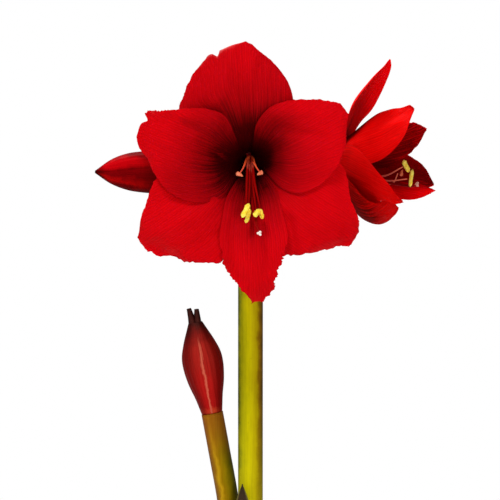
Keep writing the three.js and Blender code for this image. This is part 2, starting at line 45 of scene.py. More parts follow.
# Driving dimensions
POT = dict(height=130, foot=51, rim_outer=76, rim_depth=26, rim_step=4, wall=6, floor=9)
POT_DRAIN = dict(count=3, radius=5.5, out=27, first=0.5)
SOIL_TOP = 108
BULB = dict(x=-4, y=5, foot=66, radius=43, widest=108, top=168, neck=30)
ROOT = dict(count=6, radius=2.2, reach=24, tip=24)
SOCKET = 14                             # how deep stems and leaves stand in the bulb's neck
SCAPE_MAIN = dict(radius=9.8, x=0.4, y=-2, top=484)
SCAPE_SECOND = dict(radius=8.6, top=319)
TUBE_MOUTH = 7.6                        # radius of a flower's tube where its tepals begin
SEAT = 1.0                              # how far the tepals' feet stand clear of that tube
GAP = 0.3                               # space between pieces that touch
FRONT_GRID = (112, 128)                 # rows and columns of a tepal
SIDE_GRID = (84, 96)
SIDES = dict(thread=10, style=12, lobe=14, anther=32, stalk=48, scape=72, bud=144, spathe=120, horn=24,
             bulb=180, root=12, pot=120, drain=32, soil=240, floor=96)
rng = np.random.default_rng(7)


# Numbers and curves
def smooth(x, low, high):
    t = np.clip((np.asarray(x, float) - low) / (high - low), 0, 1)
    return t * t * (3 - 2 * t)


def unit(v):
    return v / np.maximum(np.linalg.norm(v, axis=-1, keepdims=True), 1e-9)


def turns(count):
    """Angles once round in equal steps."""
    return np.linspace(0, TURN, count, endpoint=False)


def grid(rows, columns):
    """q from 0 to 1 down a grid and u from -1 to 1 across it."""
    return np.linspace(0, 1, rows)[:, None], np.linspace(-1, 1, columns)[None, :]


def polar(x, y, radius, angle, z):
    """Points at a radius and angle about the upright line through x, y."""
    return np.stack([x + radius * np.cos(angle), y + radius * np.sin(angle), z + 0 * radius], -1)


def lengths(points):
    """How far along a line of points each of them lies."""
    return np.concatenate([[0], np.cumsum(np.linalg.norm(np.diff(points, axis=0), axis=1))])


def spline(rows, q):
    """A smooth curve through rows of numbers, at q from 0 to 1."""
    p = np.asarray(rows, float)
    last = len(p) - 1
    x = np.clip(np.asarray(q, float), 0, 1) * last
    i = np.minimum(x.astype(int), last - 1)
    w = (x - i)[..., None]
    before = np.where((i > 0)[..., None], p[np.maximum(i - 1, 0)], 2 * p[0] - p[1])
    after = np.where((i + 2 <= last)[..., None], p[np.minimum(i + 2, last)], 2 * p[-1] - p[-2])
    a, b = p[i], p[i + 1]
    leave, arrive = 0.5 * (b - before), 0.5 * (after - a)
    square, cube = 3 * b - 3 * a - 2 * leave - arrive, 2 * a - 2 * b + leave + arrive
    return a + leave * w + square * w**2 + cube * w**3


def even_spline(path, q):
    """The same curve, with q in equal steps of length."""
    fine = np.linspace(0, 1, 201)
    length = lengths(spline(path, fine))
    return spline(path, np.interp(np.asarray(q) * length[-1], length, fine))


def wander(x, period, seed):
    """Smooth noise between -1 and 1 along a line."""
    x = np.asarray(x, float) / period
    knots = np.random.default_rng(seed).uniform(-1, 1, 512)
    i = np.floor(x).astype(int)
    w = smooth(x - i, 0, 1)
    return knots[i % 512] * (1 - w) + knots[(i + 1) % 512] * w


def patches(x, y, seed):
    """Smooth noise between about -1 and 1 over a plane, with patches about 1 across."""
    knots = np.random.default_rng(seed).uniform(-1, 1, (64, 64))
    i, j = np.floor(x).astype(int), np.floor(y).astype(int)
    u, v = smooth(x - i, 0, 1), smooth(y - j, 0, 1)
    near = knots[i % 64, j % 64] * (1 - u) + knots[(i + 1) % 64, j % 64] * u
    far = knots[i % 64, (j + 1) % 64] * (1 - u) + knots[(i + 1) % 64, (j + 1) % 64] * u
    return near * (1 - v) + far * v


# Meshes. A part is its points, its faces, and values on the points that its material reads.
def grid_faces(rows, columns, closed=False):
    """Quads between rows of points; closed joins the last column to the first."""
    width = columns if closed else columns + 1
    i, j = np.meshgrid(np.arange(rows), np.arange(columns), indexing="ij")
    k = (j + 1) % width
    corners = [i * width + j, i * width + k, (i + 1) * width + k, (i + 1) * width + j]
    return np.stack(corners, -1).reshape(-1, 4)


def sheet(top, bottom, **values):
    """A closed thin sheet between two grids of the same size."""
    size = top.shape[:2]
    count = size[0] * size[1]
    front = grid_faces(size[0] - 1, size[1] - 1)
    index = np.arange(count).reshape(size)
    rim = np.concatenate([index[0, :-1], index[:-1, -1], index[-1, :0:-1], index[:0:-1, 0]])
    after = np.roll(rim, -1)
    wall = np.stack([after, rim, rim + count, after + count], -1)
    points = np.concatenate([top.reshape(-1, 3), bottom.reshape(-1, 3)])
    spread = {key: np.tile(np.broadcast_to(v, size).ravel(), 2) for key, v in values.items()}
    return points, np.concatenate([front, front[:, ::-1] + count, wall]), spread


def solid(rings, **values):
    """A closed body through rings of points, with a point in the middle of each end."""
    count, sides = rings.shape[:2]
    points = np.concatenate([rings.reshape(-1, 3), rings[0].mean(0)[None], rings[-1].mean(0)[None]])
    faces = [tuple(f) for f in grid_faces(count - 1, sides, closed=True)]
    first, top = count * sides, (count - 1) * sides
    for j in range(sides):
        k = (j + 1) % sides
        faces += [(first, k, j), (first + 1, top + j, top + k)]
    for key, v in values.items():
        v = np.broadcast_to(v, (count, sides))
        values[key] = np.concatenate([v.ravel(), [v[0].mean(), v[-1].mean()]])
    return points, faces, values


def hoop(rings, **values):
    """A closed body whose last ring joins the first again, with one number for each value."""
    count, sides = rings.shape[:2]
    faces = grid_faces(count, sides, closed=True) % (count * sides)
    return rings.reshape(-1, 3), faces, {key: np.full(count * sides, v) for key, v in values.items()}


def tube(path, radii, steps, sides, shape=None):
    """Rings of a tube along a smooth path, with q along it and the angle round it."""
    q = np.linspace(0, 1, steps + 1)
    centre = even_spline(path, q)
    tangent = unit(np.gradient(centre, axis=0))
    radius = spline([[r] for r in radii], q)[:, 0]
    normal = np.cross(tangent[0], [0, 0, 1] if abs(tangent[0][2]) < 0.9 else [0, 1, 0])
    angle = turns(sides)
    rings = []
    for c, t, r, k in zip(centre, tangent, radius, q):
        normal = unit(normal - t * normal.dot(t))
        other = np.cross(t, normal)
        size = r * (shape(k, angle) if shape else np.ones(sides))
        rings.append(c + size[:, None] * (np.cos(angle)[:, None] * normal + np.sin(angle)[:, None] * other))
    return np.array(rings), q[:, None], angle


def toward(rings, axis):
    """How far each point of a ring lies to one side of its middle, from -1 to 1."""
    spread = rings - rings.mean(1, keepdims=True)
    return spread[..., axis] / np.linalg.norm(spread, axis=2)


def gather(parts):
    """Several parts in one."""
    faces, start = [], 0
    for points, some, _ in parts:
        faces += [tuple(int(i) + start for i in face) for face in some]
        start += len(points)
    values = {key: np.concatenate([part[2][key] for part in parts]) for key in parts[0][2]}
    return np.concatenate([part[0] for part in parts]), faces, values


def add(name, data):
    """A new object in the scene."""
    obj = bpy.data.objects.new(name, data)
    bpy.context.scene.collection.objects.link(obj)
    return obj


def closed_object(name, part):
    """A part as an object, with its faces turned outward."""
    points, faces, values = part
    faces = [tuple(int(i) for i in f) for f in faces]
    tri = np.array([(f[0], f[k], f[k + 1]) for f in faces for k in range(1, len(f) - 1)])
    a, b, c = ((points - points.mean(0))[tri[:, k]] for k in range(3))
    if np.einsum("ij,ij->", a, np.cross(b, c)) <= 0:
        faces = [tuple(reversed(f)) for f in faces]
    mesh = bpy.data.meshes.new(name)
    mesh.from_pydata((points * MM).tolist(), [], faces)
    for key, numbers in values.items():
        layer = mesh.attributes.new(key, "FLOAT", "POINT")
        layer.data.foreach_set("value", np.asarray(numbers, np.float32))
    return add(name, mesh)


def piece(name, part, material, node=None):
    """A part as an object on the root body, in place of a node of the frame if one is named."""
    obj = closed_object(name, part)
    obj.data.shade_smooth()
    obj.data.materials.append(material)
    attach(obj, "root")
    if node:
        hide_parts(node)
    return obj


# Materials
def srgb(red, green, blue):
    """A colour as it is seen, 0 to 255, made linear."""
    parts = [c / 255 for c in (red, green, blue)]
    return tuple(c / 12.92 if c <= 0.04045 else ((c + 0.055) / 1.055) ** 2.4 for c in parts) + (1.0,)


class Finish:
    """A material built by small calls, each of which gives back a socket. A colour is a socket, or
    red, green and blue as they are seen, 0 to 255."""

    def __init__(self, name):
        self.material = bpy.data.materials.new(name)
        self.material.use_nodes = True
        self.tree = self.material.node_tree
        self.tree.nodes.clear()
        self.place = self.node("TexCoord", {}).outputs["Object"]

    def node(self, kind, inputs, **settings):
        made = self.tree.nodes.new("ShaderNode" + kind)
        for key, value in settings.items():
            setattr(made, key, value)
        for key, value in inputs.items():
            if isinstance(value, bpy.types.NodeSocket):
                self.tree.links.new(value, made.inputs[key])
            else:
                made.inputs[key].default_value = value
        return made

    def values(self, names):
        return [self.node("Attribute", {}, attribute_name=name).outputs["Fac"] for name in names.split()]

    def maths(self, operation, a, b=0.0):
        return self.node("Math", {0: a, 1: b}, operation=operation).outputs[0]

    def plus(self, a, b):
        return self.maths("ADD", a, b)

    def times(self, a, b):
        return self.maths("MULTIPLY", a, b)

    def size(self, a):
        return self.maths("ABSOLUTE", a)

    def fit(self, value, low, high, start=0.0, end=1.0):
        """start where the value is low, end where it is high, and a soft step between."""
        inputs = {"Value": value, "From Min": low, "From Max": high, "To Min": start, "To Max": end}
        return self.node("MapRange", inputs, interpolation_type="SMOOTHSTEP").outputs[0]

    def stir(self, value, noise, amount):
        """A value moved up and down a little by a noise."""
        return self.plus(value, self.fit(noise, 0.3, 0.7, -amount, amount))

    def vector(self, x, y, z=0.0):
        return self.node("CombineXYZ", {"X": x, "Y": y, "Z": z}).outputs[0]

    def stretched(self, x, y, z):
        return self.node("Mapping", {"Vector": self.place, "Scale": (x, y, z)}).outputs[0]

    def noise(self, scale, detail=3.0, roughness=0.5, vector=None, distortion=0.0):
        inputs = {"Vector": vector or self.place, "Scale": scale, "Detail": detail, "Roughness": roughness,
                  "Distortion": distortion}
        return self.node("TexNoise", inputs).outputs["Fac"]

    def mix(self, factor, a, b, blend="MIX"):
        a, b = (srgb(*c) if isinstance(c, tuple) and len(c) == 3 else c for c in (a, b))
        return self.node("Mix", {0: factor, 6: a, 7: b}, data_type="RGBA", blend_type=blend).outputs[2]

    def tint(self, colour, *factors):
        """A colour times three plain factors, or times another colour."""
        return self.mix(1.0, colour, (*factors, 1) if len(factors) == 3 else factors[0], "MULTIPLY")

    def layers(self, colour, *layers):
        """A colour under layers of (colour, value, low, high, start, end), laid on where fit says."""
        for other, *fitted in layers:
            colour = self.mix(self.fit(*fitted), colour, other)
        return colour

    def ramp(self, value, *stops, seen=True):
        """A colour by a value. Stops are (place, red, green, blue), plain factors unless seen."""
        made = self.node("ValToRGB", {"Fac": value})
        elements = made.color_ramp.elements
        while len(elements) < len(stops):
            elements.new(0.5)
        for element, (place, *colour) in zip(elements, stops):
            element.position = place
            element.color = srgb(*colour) if seen else (*colour, 1)
        return made.outputs["Color"]

    def bump(self, strength, distance, height, other=None):
        height = self.plus(height, other) if other else height
        inputs = {"Height": height, "Strength": strength, "Distance": distance * MM}
        return self.node("Bump", inputs).outputs[0]

    def done(self, colour, roughness, normal=None, gloss=0.5, gloss_tint=(255, 255, 255), **constants):
        """constants are other inputs of the shader, such as Subsurface_Weight."""
        inputs = {"Base Color": colour, "Roughness": roughness, "Specular IOR Level": gloss,
                  "Specular Tint": srgb(*gloss_tint)}
        if normal:
            inputs["Normal"] = normal
        inputs.update({key.replace("_", " "): value for key, value in constants.items()})
        shader = self.node("BsdfPrincipled", inputs)
        self.node("OutputMaterial", {"Surface": shader.outputs[0]})
        return self.material


def petal_finish(name, inside, outside, roughness, glow, gloss):
    """Red petal: a near-black throat, partly its own colour and partly painted shade; a dark foot on the
    outer face, painted shade partly over its own darker colour; fine lengthwise veins, a velvet grain and a
    darker margin.
    """
    look = Finish(name)
    across, along, back, vein, spread, reach = look.values("across along back vein spread reach")
    drift = look.noise(2.0, 2.0, 0.5, look.vector(look.times(across, 2.0), along))
    turned = look.plus(look.times(vein, TURN / VEIN), look.fit(drift, 0.2, 0.8, -3.0, 3.0))
    fine, coarse = look.maths("SINE", turned), look.maths("SINE", look.times(turned, 0.5))
    lines = look.plus(look.times(fine, look.fit(spread, 0.35, 0.7)),
                      look.times(coarse, look.fit(spread, 0.35, 0.7, 1.0, 0.35)))
    threads = look.noise(1.0, 3.0, 0.6, look.vector(look.times(vein, 0.9), look.times(along, 4.0)))
    lines = look.times(lines, look.fit(threads, 0.25, 0.75, 0.3, 1.25))
    clouds, grain = look.noise(30.0, 3.0, 0.55), look.noise(900.0, 2.0, 0.6)
    colour = look.mix(back, inside, outside)
    deep, bright = look.tint(colour, 0.6, 0.35, 0.4), look.tint(colour, 1.22, 1.6, 1.4)
    colour = look.layers(colour, (deep, lines, -1.3, 0.1, 0.42, 0.0), (bright, lines, 0.1, 1.3, 0.0, 0.5),
                         (deep, clouds, 0.3, 0.62, 0.3, 0.0), (deep, grain, 0.3, 0.7, 0.16, 0.0))
    # The throat ramp darkens by reach: partly the flower's own near-black throat, partly painted shade deep
    # in the flower, on far tepals and on the shaded foot of outer faces.
    ragged = look.stir(look.plus(reach, look.fit(threads, 0.3, 0.7, -0.18, 0.22)), clouds, 0.06)
    throat = look.ramp(look.times(ragged, 0.4), (0.12, 0.06, 0.6, 0.25), (0.33, 0.1, 0.5, 0.3),
                       (0.40, 0.3, 0.5, 0.5), (0.48, 0.46, 0.7, 0.7), (0.60, 0.66, 0.85, 0.85),
                       (0.82, 0.86, 1, 1), (1.0, 1, 1, 1), seen=False)
    colour = look.tint(colour, throat)
    colour = look.layers(colour, (look.tint(colour, 0.4, 0.3, 0.4), look.size(across), 0.972, 1.0, 0.0, 0.5))
    normal = look.bump(0.4, 0.35, look.times(lines, 0.35), look.times(grain, 0.4))
    rough = look.fit(clouds, 0.2, 0.8, roughness, roughness + 0.12)
    return look.done(colour, rough, normal, gloss, (255, 70, 60), Subsurface_Weight=glow,
                     Subsurface_Radius=(1.0, 0.03, 0.02), Subsurface_Scale=0.004)


def pollen_finish(name, low, high, roughness=0.85, strength=0.6, distance=0.5):
    """Two colours in a fine powdery grain."""
    look = Finish(name)
    grain, fine = look.noise(500.0, 4.0, 0.6), look.noise(3000.0, 2.0, 0.6)
    colour = look.mix(look.fit(grain, 0.32, 0.68), low, high)
    colour = look.layers(colour, (low, fine, 0.4, 0.7, 0.0, 0.25))
    return look.done(colour, roughness, look.bump(strength, distance, grain, fine), 0.2)


def along_finish(name, stops, gloss, roughness=0.5, gloss_tint=(255, 255, 255)):
    """A colour that changes along a stem or thread, streaked lengthwise, with a faint waxy mottle."""
    look = Finish(name)
    along, side = look.values("along side")
    streaks = look.noise(3.0, 4.0, 0.6, look.vector(look.times(side, 6.0), along))
    mottle = look.noise(90.0, 4.0, 0.65)
    colour = look.ramp(look.stir(along, mottle, 0.03), *stops)
    shade = look.tint(colour, 0.45, 0.4, 0.4)
    colour = look.layers(colour, (shade, streaks, 0.3, 0.62, 0.3, 0.0), (shade, mottle, 0.5, 0.8, 0.0, 0.25))
    return look.done(colour, roughness, look.bump(0.15, 0.4, streaks, mottle), gloss, gloss_tint)


def bud_finish():
    """A waxy bud, bright above and dark below, partly its own colour and partly painted light and shade, with
    fine lengthwise ribs and a dry brown point.
    """
    look = Finish("bud")
    along, up, side, seam = look.values("along up side seam")
    streaks = look.noise(1.6, 3.0, 0.6, look.vector(look.times(side, 14.0), look.times(up, 14.0), along))
    mottle = look.noise(70.0, 4.0, 0.6)
    # Colour by height round the bud: partly its own, partly painted light and shade, lit above and shaded
    # below, with a painted highlight low on the underside.
    colour = look.ramp(look.fit(look.stir(up, mottle, 0.12), -1.0, 1.0), (0.0, 90, 1, 3), (0.12, 180, 6, 7),
                       (0.3, 124, 2, 7), (0.55, 140, 2, 8), (0.8, 206, 3, 13), (0.93, 206, 4, 14),
                       (1.0, 120, 2, 6))
    shade = look.tint(colour, 0.5, 0.4, 0.4)
    colour = look.layers(colour, (shade, streaks, 0.32, 0.6, 0.4, 0.0))
    # Painted shade along the seams where one tepal laps over the next.
    colour = look.mix(look.times(seam, 0.75), colour, shade)
    colour = look.layers(colour, ((70, 2, 2), along, 0.42, 0.66, 0.75, 0.0))
    colour = look.tint(colour, look.ramp(along, (0.9, 1, 1, 1), (0.96, 0.4, 0.7, 0.5), (1.0, 0.05, 0.9, 0.5),
                                         seen=False))
    return look.done(colour, 0.5, look.bump(0.2, 0.4, streaks, mottle), 0.01, (255, 80, 70))


def spathe_finish():
    """The thick red-brown valve of an unopened spathe, streaked lengthwise, with a painted highlight down its
    middle and painted shade towards its sides.
    """
    look = Finish("spathe")
    along, side = look.values("along side")
    streaks = look.noise(2.0, 4.0, 0.65, look.vector(look.times(side, 9.0), look.times(along, 1.4)), 0.3)
    mottle = look.noise(110.0, 4.0, 0.65)
    colour = look.ramp(look.stir(along, mottle, 0.03), (0.0, 206, 66, 36), (0.07, 176, 14, 14),
                       (0.3, 184, 20, 18), (0.62, 172, 34, 26), (0.76, 120, 24, 20), (0.86, 64, 26, 22),
                       (1.0, 46, 26, 22))
    pale_streak_and_light, shade = look.tint(colour, 1.08, 1.4, 1.4), look.tint(colour, 0.34, 0.12, 0.14)
    # Pale streaks towards the middle: partly the valve's own streaks, partly painted light.
    middle = look.fit(look.size(look.plus(side, -0.1)), 0.1, 0.75, 0.55, 0.0)
    colour = look.mix(look.times(middle, look.fit(streaks, 0.4, 0.65)), colour, pale_streak_and_light)
    # A painted highlight: a narrow pale line down the middle, fading out towards the top.
    painted_highlight = look.fit(look.size(look.stir(side, mottle, 0.05)), 0.02, 0.12, 0.75, 0.0)
    painted_highlight = look.times(painted_highlight, look.fit(along, 0.62, 0.75, 1.0, 0.0))
    colour = look.mix(painted_highlight, colour, (226, 110, 84))
    # Painted shade towards both sides; dark streaks of its own all over.
    colour = look.layers(colour, (shade, look.size(side), 0.2, 0.85, 0.0, 0.95),
                         (shade, streaks, 0.3, 0.55, 0.55, 0.0))
    return look.done(colour, 0.5, look.bump(0.35, 0.5, streaks, mottle), 0.14, (255, 150, 130))


def scape_finish(name, stops, low, high):
    """A stem coloured across by stops, which hold its own colours together with painted light and shade as
    seen from in front, with one tint low down and another at its top.
    """
    look = Finish(name)
    side, along = look.values("side along")
    mottle = look.noise(60.0, 4.0, 0.6)
    lines = look.noise(700.0, 3.0, 0.6, look.stretched(1, 1, 0.04))
    pits = look.node("TexVoronoi", {"Vector": look.place, "Scale": 150.0}).outputs["Distance"]
    # Across the stem the stops paint light and shade: a painted highlight near the middle and painted shade
    # towards the edges, over the stem's own greens, yellows and browns.
    colour = look.ramp(look.plus(look.times(look.stir(side, mottle, 0.12), 0.5), 0.5), *stops)
    colour = look.layers(colour, (low, along, 0.1, 0.6, 0.7, 0.0), (high, along, 0.72, 1.0, 0.0, 0.8))
    shade = look.tint(colour, 0.62, 0.58, 0.4)
    colour = look.layers(colour, (shade, lines, 0.35, 0.6, 0.3, 0.0), (shade, pits, 0.06, 0.12, 0.4, 0.0))
    return look.done(colour, 0.45, look.bump(0.2, 0.35, lines, mottle), 0.07, (255, 236, 120))


def clay_finish():
    look = Finish("terracotta")
    clouds, grain = look.noise(22.0, 5.0, 0.6), look.noise(600.0, 3.0, 0.7)
    turned = look.noise(420.0, 3.0, 0.6, look.stretched(0.04, 0.04, 1))
    colour = look.mix(look.fit(clouds, 0.3, 0.7), (158, 84, 54), (188, 108, 72))
    colour = look.layers(colour, ((170, 98, 68), turned, 0.35, 0.7, 0.0, 0.35),
                         ((126, 66, 44), grain, 0.55, 0.8, 0.0, 0.5))
    salt = look.times(look.fit(clouds, 0.55, 0.75), look.fit(grain, 0.35, 0.6))
    colour = look.mix(look.times(salt, 0.45), colour, (214, 184, 160))
    rough = look.fit(clouds, 0.2, 0.8, 0.82, 0.95)
    return look.done(colour, rough, look.bump(0.35, 0.35, grain, turned), 0.3)


def soil_finish():
    look = Finish("soil")
    clods, grain = look.noise(160.0, 5.0, 0.7), look.noise(900.0, 3.0, 0.7)
    colour = look.ramp(clods, (0.3, 24, 17, 12), (0.55, 52, 36, 24), (0.75, 84, 60, 40))
    colour = look.layers(colour, ((108, 80, 54), grain, 0.6, 0.8, 0.0, 0.5))
    return look.done(colour, 0.95, look.bump(0.9, 1.2, clods, grain), 0.15)


def skin_finish(name, low, high, vein):
    """Dry papery bulb skin with upright veins."""
    look = Finish(name)
    around, along = look.values("around along")
    upright = look.noise(2.2, 4.0, 0.6, look.vector(look.times(around, 26.0), look.times(along, 1.6)), 0.3)
    blotches = look.noise(45.0, 4.0, 0.6)
    colour = look.mix(look.fit(blotches, 0.35, 0.65), low, high)
    colour = look.layers(colour, (vein, upright, 0.5, 0.7, 0.0, 0.7))
    return look.done(colour, look.fit(blotches, 0.3, 0.7, 0.5, 0.75), look.bump(0.45, 0.8, upright), 0.35)


def leaf_finish():
    look = Finish("leaf")
    along, across = look.values("along across")
    veins = look.noise(2.0, 3.0, 0.55, look.vector(look.times(across, 14.0), along))
    clouds = look.noise(50.0, 4.0, 0.6)
    colour = look.ramp(along, (0.0, 150, 150, 70), (0.3, 96, 112, 38), (0.7, 88, 96, 30), (0.86, 60, 34, 24),
                       (1.0, 36, 14, 12))
    colour = look.layers(colour, ((58, 58, 20), veins, 0.4, 0.65, 0.4, 0.0),
                         ((70, 44, 24), clouds, 0.45, 0.8, 0.0, 0.3),
                         ((116, 106, 44), look.size(across), 0.6, 0.95, 0.0, 0.8))
    return look.done(colour, 0.5, look.bump(0.35, 0.5, veins), 0.12)


# Flowers
class Flower:
    """A base point, the axis it opens along and two directions across it."""

    def __init__(self, base, azimuth, pitch):
        turn, rise = math.radians(azimuth), math.radians(pitch)
        self.base = np.array(base, float)
        level = math.cos(rise)
        self.axis = np.array([math.sin(turn) * level, -math.cos(turn) * level, math.sin(rise)])
        self.across = np.array([math.cos(turn), math.sin(turn), 0.0])
        self.up = -np.cross(self.across, self.axis)

    def at(self, x, y, height):
        x, y, height = (np.asarray(v, float)[..., None] for v in (x, y, height))
        return self.base + x * self.across + y * self.up + height * self.axis

    def line(self, path):
        return self.at(*np.array(path, float).T)


FRONT = Flower((0, -38, 520), 0, -5)
SIDE = Flower((48.4, 0, 522), 70, 0)
FUNNEL = dict(depth=80, start=5.2, flare=17, turn_from=58, turn_back=0.0075)
INNER, OUTER = 1.2, -1.2
PETAL = 0.8
VEIN = 1.8
RIBS = 13

# at is a tepal's direction in degrees. Rows are distance from the axis, height (the open flower's comes
# from its funnel) and half width to either side in degrees. lift and rise are how far the tepal stands
# inward of its rows, rise only towards its end. cup is how far its left and right margins curl inward, and
# from where to where along it that begins. ruffle is the size, number and phase of its waves, and fray how
# ragged its two margins are, in millimetres. A notch is (direction, depth, half width), cut into its end.
# throat is how far the dark throat reaches, at five places across: partly the flower's own
# near-black throat, partly painted shade deep in the flower and over its far tepals. dark_foot_and_shade is
# from where to where the dark foot of the outer face fades, painted shade partly over that foot's own darker
# colour, and how far that leans across. A fold is a soft ridge, or a dent where its depth is below zero,
# along a line from one (right, up) point of the flower's face to another, with its half width and depth.
FRONT_TEPALS = dict(
    top=dict(
        at=92, lift=OUTER, cup=(-1.5, -1.5, 0.3, 0.9), ruffle=(1.6, 2.5, 0.5), fray=(0.8, 0.3),
        notch=[(106.9, 4.5, 1.2), (110.5, -2.5, 2.2)], throat=(44, 41, 34, 38, 39),
        folds=[((-1, 26), (9, 74), 5, -1.6), ((-20, 50), (-12, 84), 6, 2), ((-50, 52), (-28, 36), 7, -2.4),
               ((22, 40), (26, 66), 5, 1.4), ((36, 34), (34, 58), 5, -1.6)],
        rows=[(5.2, 56, 56), (9, 56, 56), (16, 56, 54), (28, 54, 50), (42, 54, 46), (58, 57, 35),
              (67, 50, 27), (73, 39.5, 20.5), (79, 30.5, 14), (85, 21, 6.5), (89.5, 11, 3), (91.8, 1, 1)]),
    upper_left=dict(
        at=157, lift=INNER, rise=2, ruffle=(1.6, 3, 1), fray=(0.8, 1.6), notch=[(156.5, 4, 1.8)],
        throat=(24, 27, 29, 32, 32),
        folds=[((-16, 2), (-56, 35), 6, -2.6), ((-26, 32), (-62, 38), 5, 1.8),
               ((-30, -10), (-74, 12), 8, 1.6), ((-28, -24), (-60, -22), 5, -1.4)],
        rows=[(5.2, 56, 36), (9, 60, 35), (16, 66, 35), (28, 74, 40), (41, 66, 40), (52, 55.5, 30),
              (65, 39, 17), (74, 22, 9.5), (80, 16, 6), (84, 10.5, 4.5), (85.5, 7, 3)]),
    upper_right=dict(
        at=29, lift=INNER, rise=2, ruffle=(1.6, 3, 2), fray=(0.9, 0.6), throat=(20, 23, 25, 25, 22),
        folds=[((20, 27), (52, 20), 5, -2.4), ((26, 40), (66, 36), 6, 2), ((22, 4), (68, 12), 7, 1.6),
               ((30, -14), (60, -10), 5, -1.6)],
        rows=[(5.2, 54, 54), (9, 53, 58), (16, 52, 62), (28, 53, 67), (40, 46.5, 62), (50, 37.5, 51),
              (60, 24.5, 37), (69, 15.5, 22), (75, 9.5, 11), (79, 6, 4), (80.5, 2, 1.5)]),
    bottom=dict(
        at=272, lift=INNER, rise=3, ruffle=(1.2, 4, 0), fray=(2.8, 2.6), throat=(23, 26, 33, 26, 23),
        folds=[((2, -46), (4, -94), 6, 1.4), ((-14, -48), (-8, -86), 4, -1.6),
               ((15, -50), (12, -80), 4, -1.2)],
        rows=[(5.2, 54, 40), (9, 52, 40), (18, 48, 40), (30, 42, 38), (45, 32, 30), (60, 26.5, 24.5),
              (68, 20.5, 20.5), (74, 16, 17.5), (82, 12, 12), (90, 9.3, 6.5), (97, 6.5, 3.3),
              (100.5, 3, 0.5)]),
    lower_left=dict(
        at=214, lift=OUTER, rise=-2, ruffle=(2, 3, 0), fray=(2.2, 0.8), throat=(23,) * 5,
        folds=[((-26, -30), (-82, -58), 6, 2.6), ((-24, -52), (-60, -72), 6, -2.6),
               ((-40, -16), (-84, -34), 6, -1.6)],
        rows=[(5.2, 53, 57), (9, 54, 58), (16, 54, 56), (28, 52, 52), (42, 50, 46), (58, 47, 34),
              (73, 40, 23.5), (84, 28.5, 13), (92, 18.5, 7.5), (98, 10.5, 4), (101.5, 5, 1)]),
    lower_right=dict(
        at=328, lift=OUTER, rise=-2, ruffle=(2, 3, 3), fray=(0.9, 1.8), throat=(16, 17, 18, 20, 20),
        folds=[((29, -42), (34, -72), 5, -3), ((22, -28), (64, -52), 7, 2.2), ((56, 2), (70, -22), 7, -2.6),
               ((46, -60), (74, -56), 5, 1.6)],
        rows=[(5.2, 55, 55), (9, 55, 55), (16, 54, 54), (28, 50, 54), (42, 46, 52), (58, 41, 48),
              (70, 29.5, 40), (80, 13.5, 24.5), (89.5, 6, 12.5), (95, 2.8, 8.2), (97.8, 0.8, 4.6)]),
)
# On the side flower the throat numbers also paint the shade over the far tepals' inner faces, and the dark
# foot numbers paint shade on the outer faces of the near ones, partly over their own darker foot.
SIDE_TEPALS = dict(
    top=dict(
        at=90, lift=OUTER, cup=(1, 1, 0.3, 0.9), ruffle=(0.8, 2.5, 0.5), fray=(0.2, 0.2),
        throat=(30, 30, 34, 30, 30),
        rows=[(5.2, 0, 56, 56), (8, 14, 54, 52), (15, 26, 46, 40), (32, 35.5, 39, 29), (48, 43, 41, 33),
              (62.5, 54, 25, 21), (72, 62, 6.5, 7.5), (77.8, 66, 0.8, 0.8)]),
    near_upper=dict(
        at=147, lift=INNER, cup=(0, -2.2, 0.1, 0.35), ruffle=(0.8, 2.5, 1), fray=(0.2, 0.2), throat=(55,) * 5,
        dark_foot_and_shade=(24, 52, 30), folds=[((-22, 12), (-44, 24), 6, -2.4)],
        rows=[(5.2, 0, 54, 54), (9.5, 17, 56, 54), (19, 33, 55, 60), (31.5, 51, 45.5, 53), (41, 69, 36.5, 27),
              (51, 83, 25.5, 12.5), (59.5, 93.5, 15.5, 7), (65, 98.5, 1.5, 1.5)]),
    near_lower=dict(
        at=212, lift=OUTER, rise=1.8, ruffle=(0.8, 2.5, 2), fray=(0.3, 0.2), throat=(50,) * 5,
        dark_foot_and_shade=(-30, 130, 0),
        rows=[(5.2, 0, 22, 56), (9, 16, 22, 62), (17.5, 32, 43, 64), (30, 46, 48, 48), (40.5, 59, 24, 30),
              (52, 71, 9, 16), (61, 82, 5, 7), (67, 91, 1, 1)]),
    bottom=dict(
        at=258, lift=INNER, ruffle=(0.8, 2.5, 0), fray=(0.3, 0.4), throat=(40,) * 5, dark_foot_and_shade=(50, 96, 0),
        rows=[(5.2, 0, 16, 20), (10, 14, 16, 15), (22, 25, 32, 25), (39, 35, 62, 56), (49, 45, 62, 54),
              (52.5, 55.5, 40, 40.5), (48.8, 65.5, 18, 29.2), (44.5, 71, 10, 34), (39.5, 74.5, 3, 18)]),
    far_lower=dict(
        at=330, lift=OUTER, ruffle=(1.2, 2.5, 0), fray=(0.4, 0.5), notch=[(332, 6, 2.2)],
        throat=(26, 34, 68, 124, 140),
        rows=[(5.2, 0, 56, 50), (10, 18, 56, 50), (19, 36, 50, 44), (30, 53, 43, 34), (38, 68, 37, 24),
              (42, 80, 25.5, 14), (44.5, 87.5, 11, 7), (46, 92.5, 1, 1)]),
    far_upper=dict(
        at=30, lift=INNER, ruffle=(1.2, 2.5, 3), fray=(0.6, 0.9), throat=(84, 82, 80, 78, 78),
        rows=[(5.2, 0, 54, 54), (9, 18, 56, 56), (16, 36, 54, 54), (25, 52, 42, 46), (33, 65, 28, 29),
              (42, 74.5, 16, 14), (47.5, 79.5, 7, 6), (51, 82, 1, 1)]),
)


def on_funnel(radius, left, right):
    """A row of the open flower, with its height on the common funnel."""
    climb = 1 - math.exp(-(radius - FUNNEL["start"]) / FUNNEL["flare"])
    droop = FUNNEL["turn_back"] * max(0, radius - FUNNEL["turn_from"]) ** 2
    return radius, FUNNEL["depth"] * climb - droop, left, right


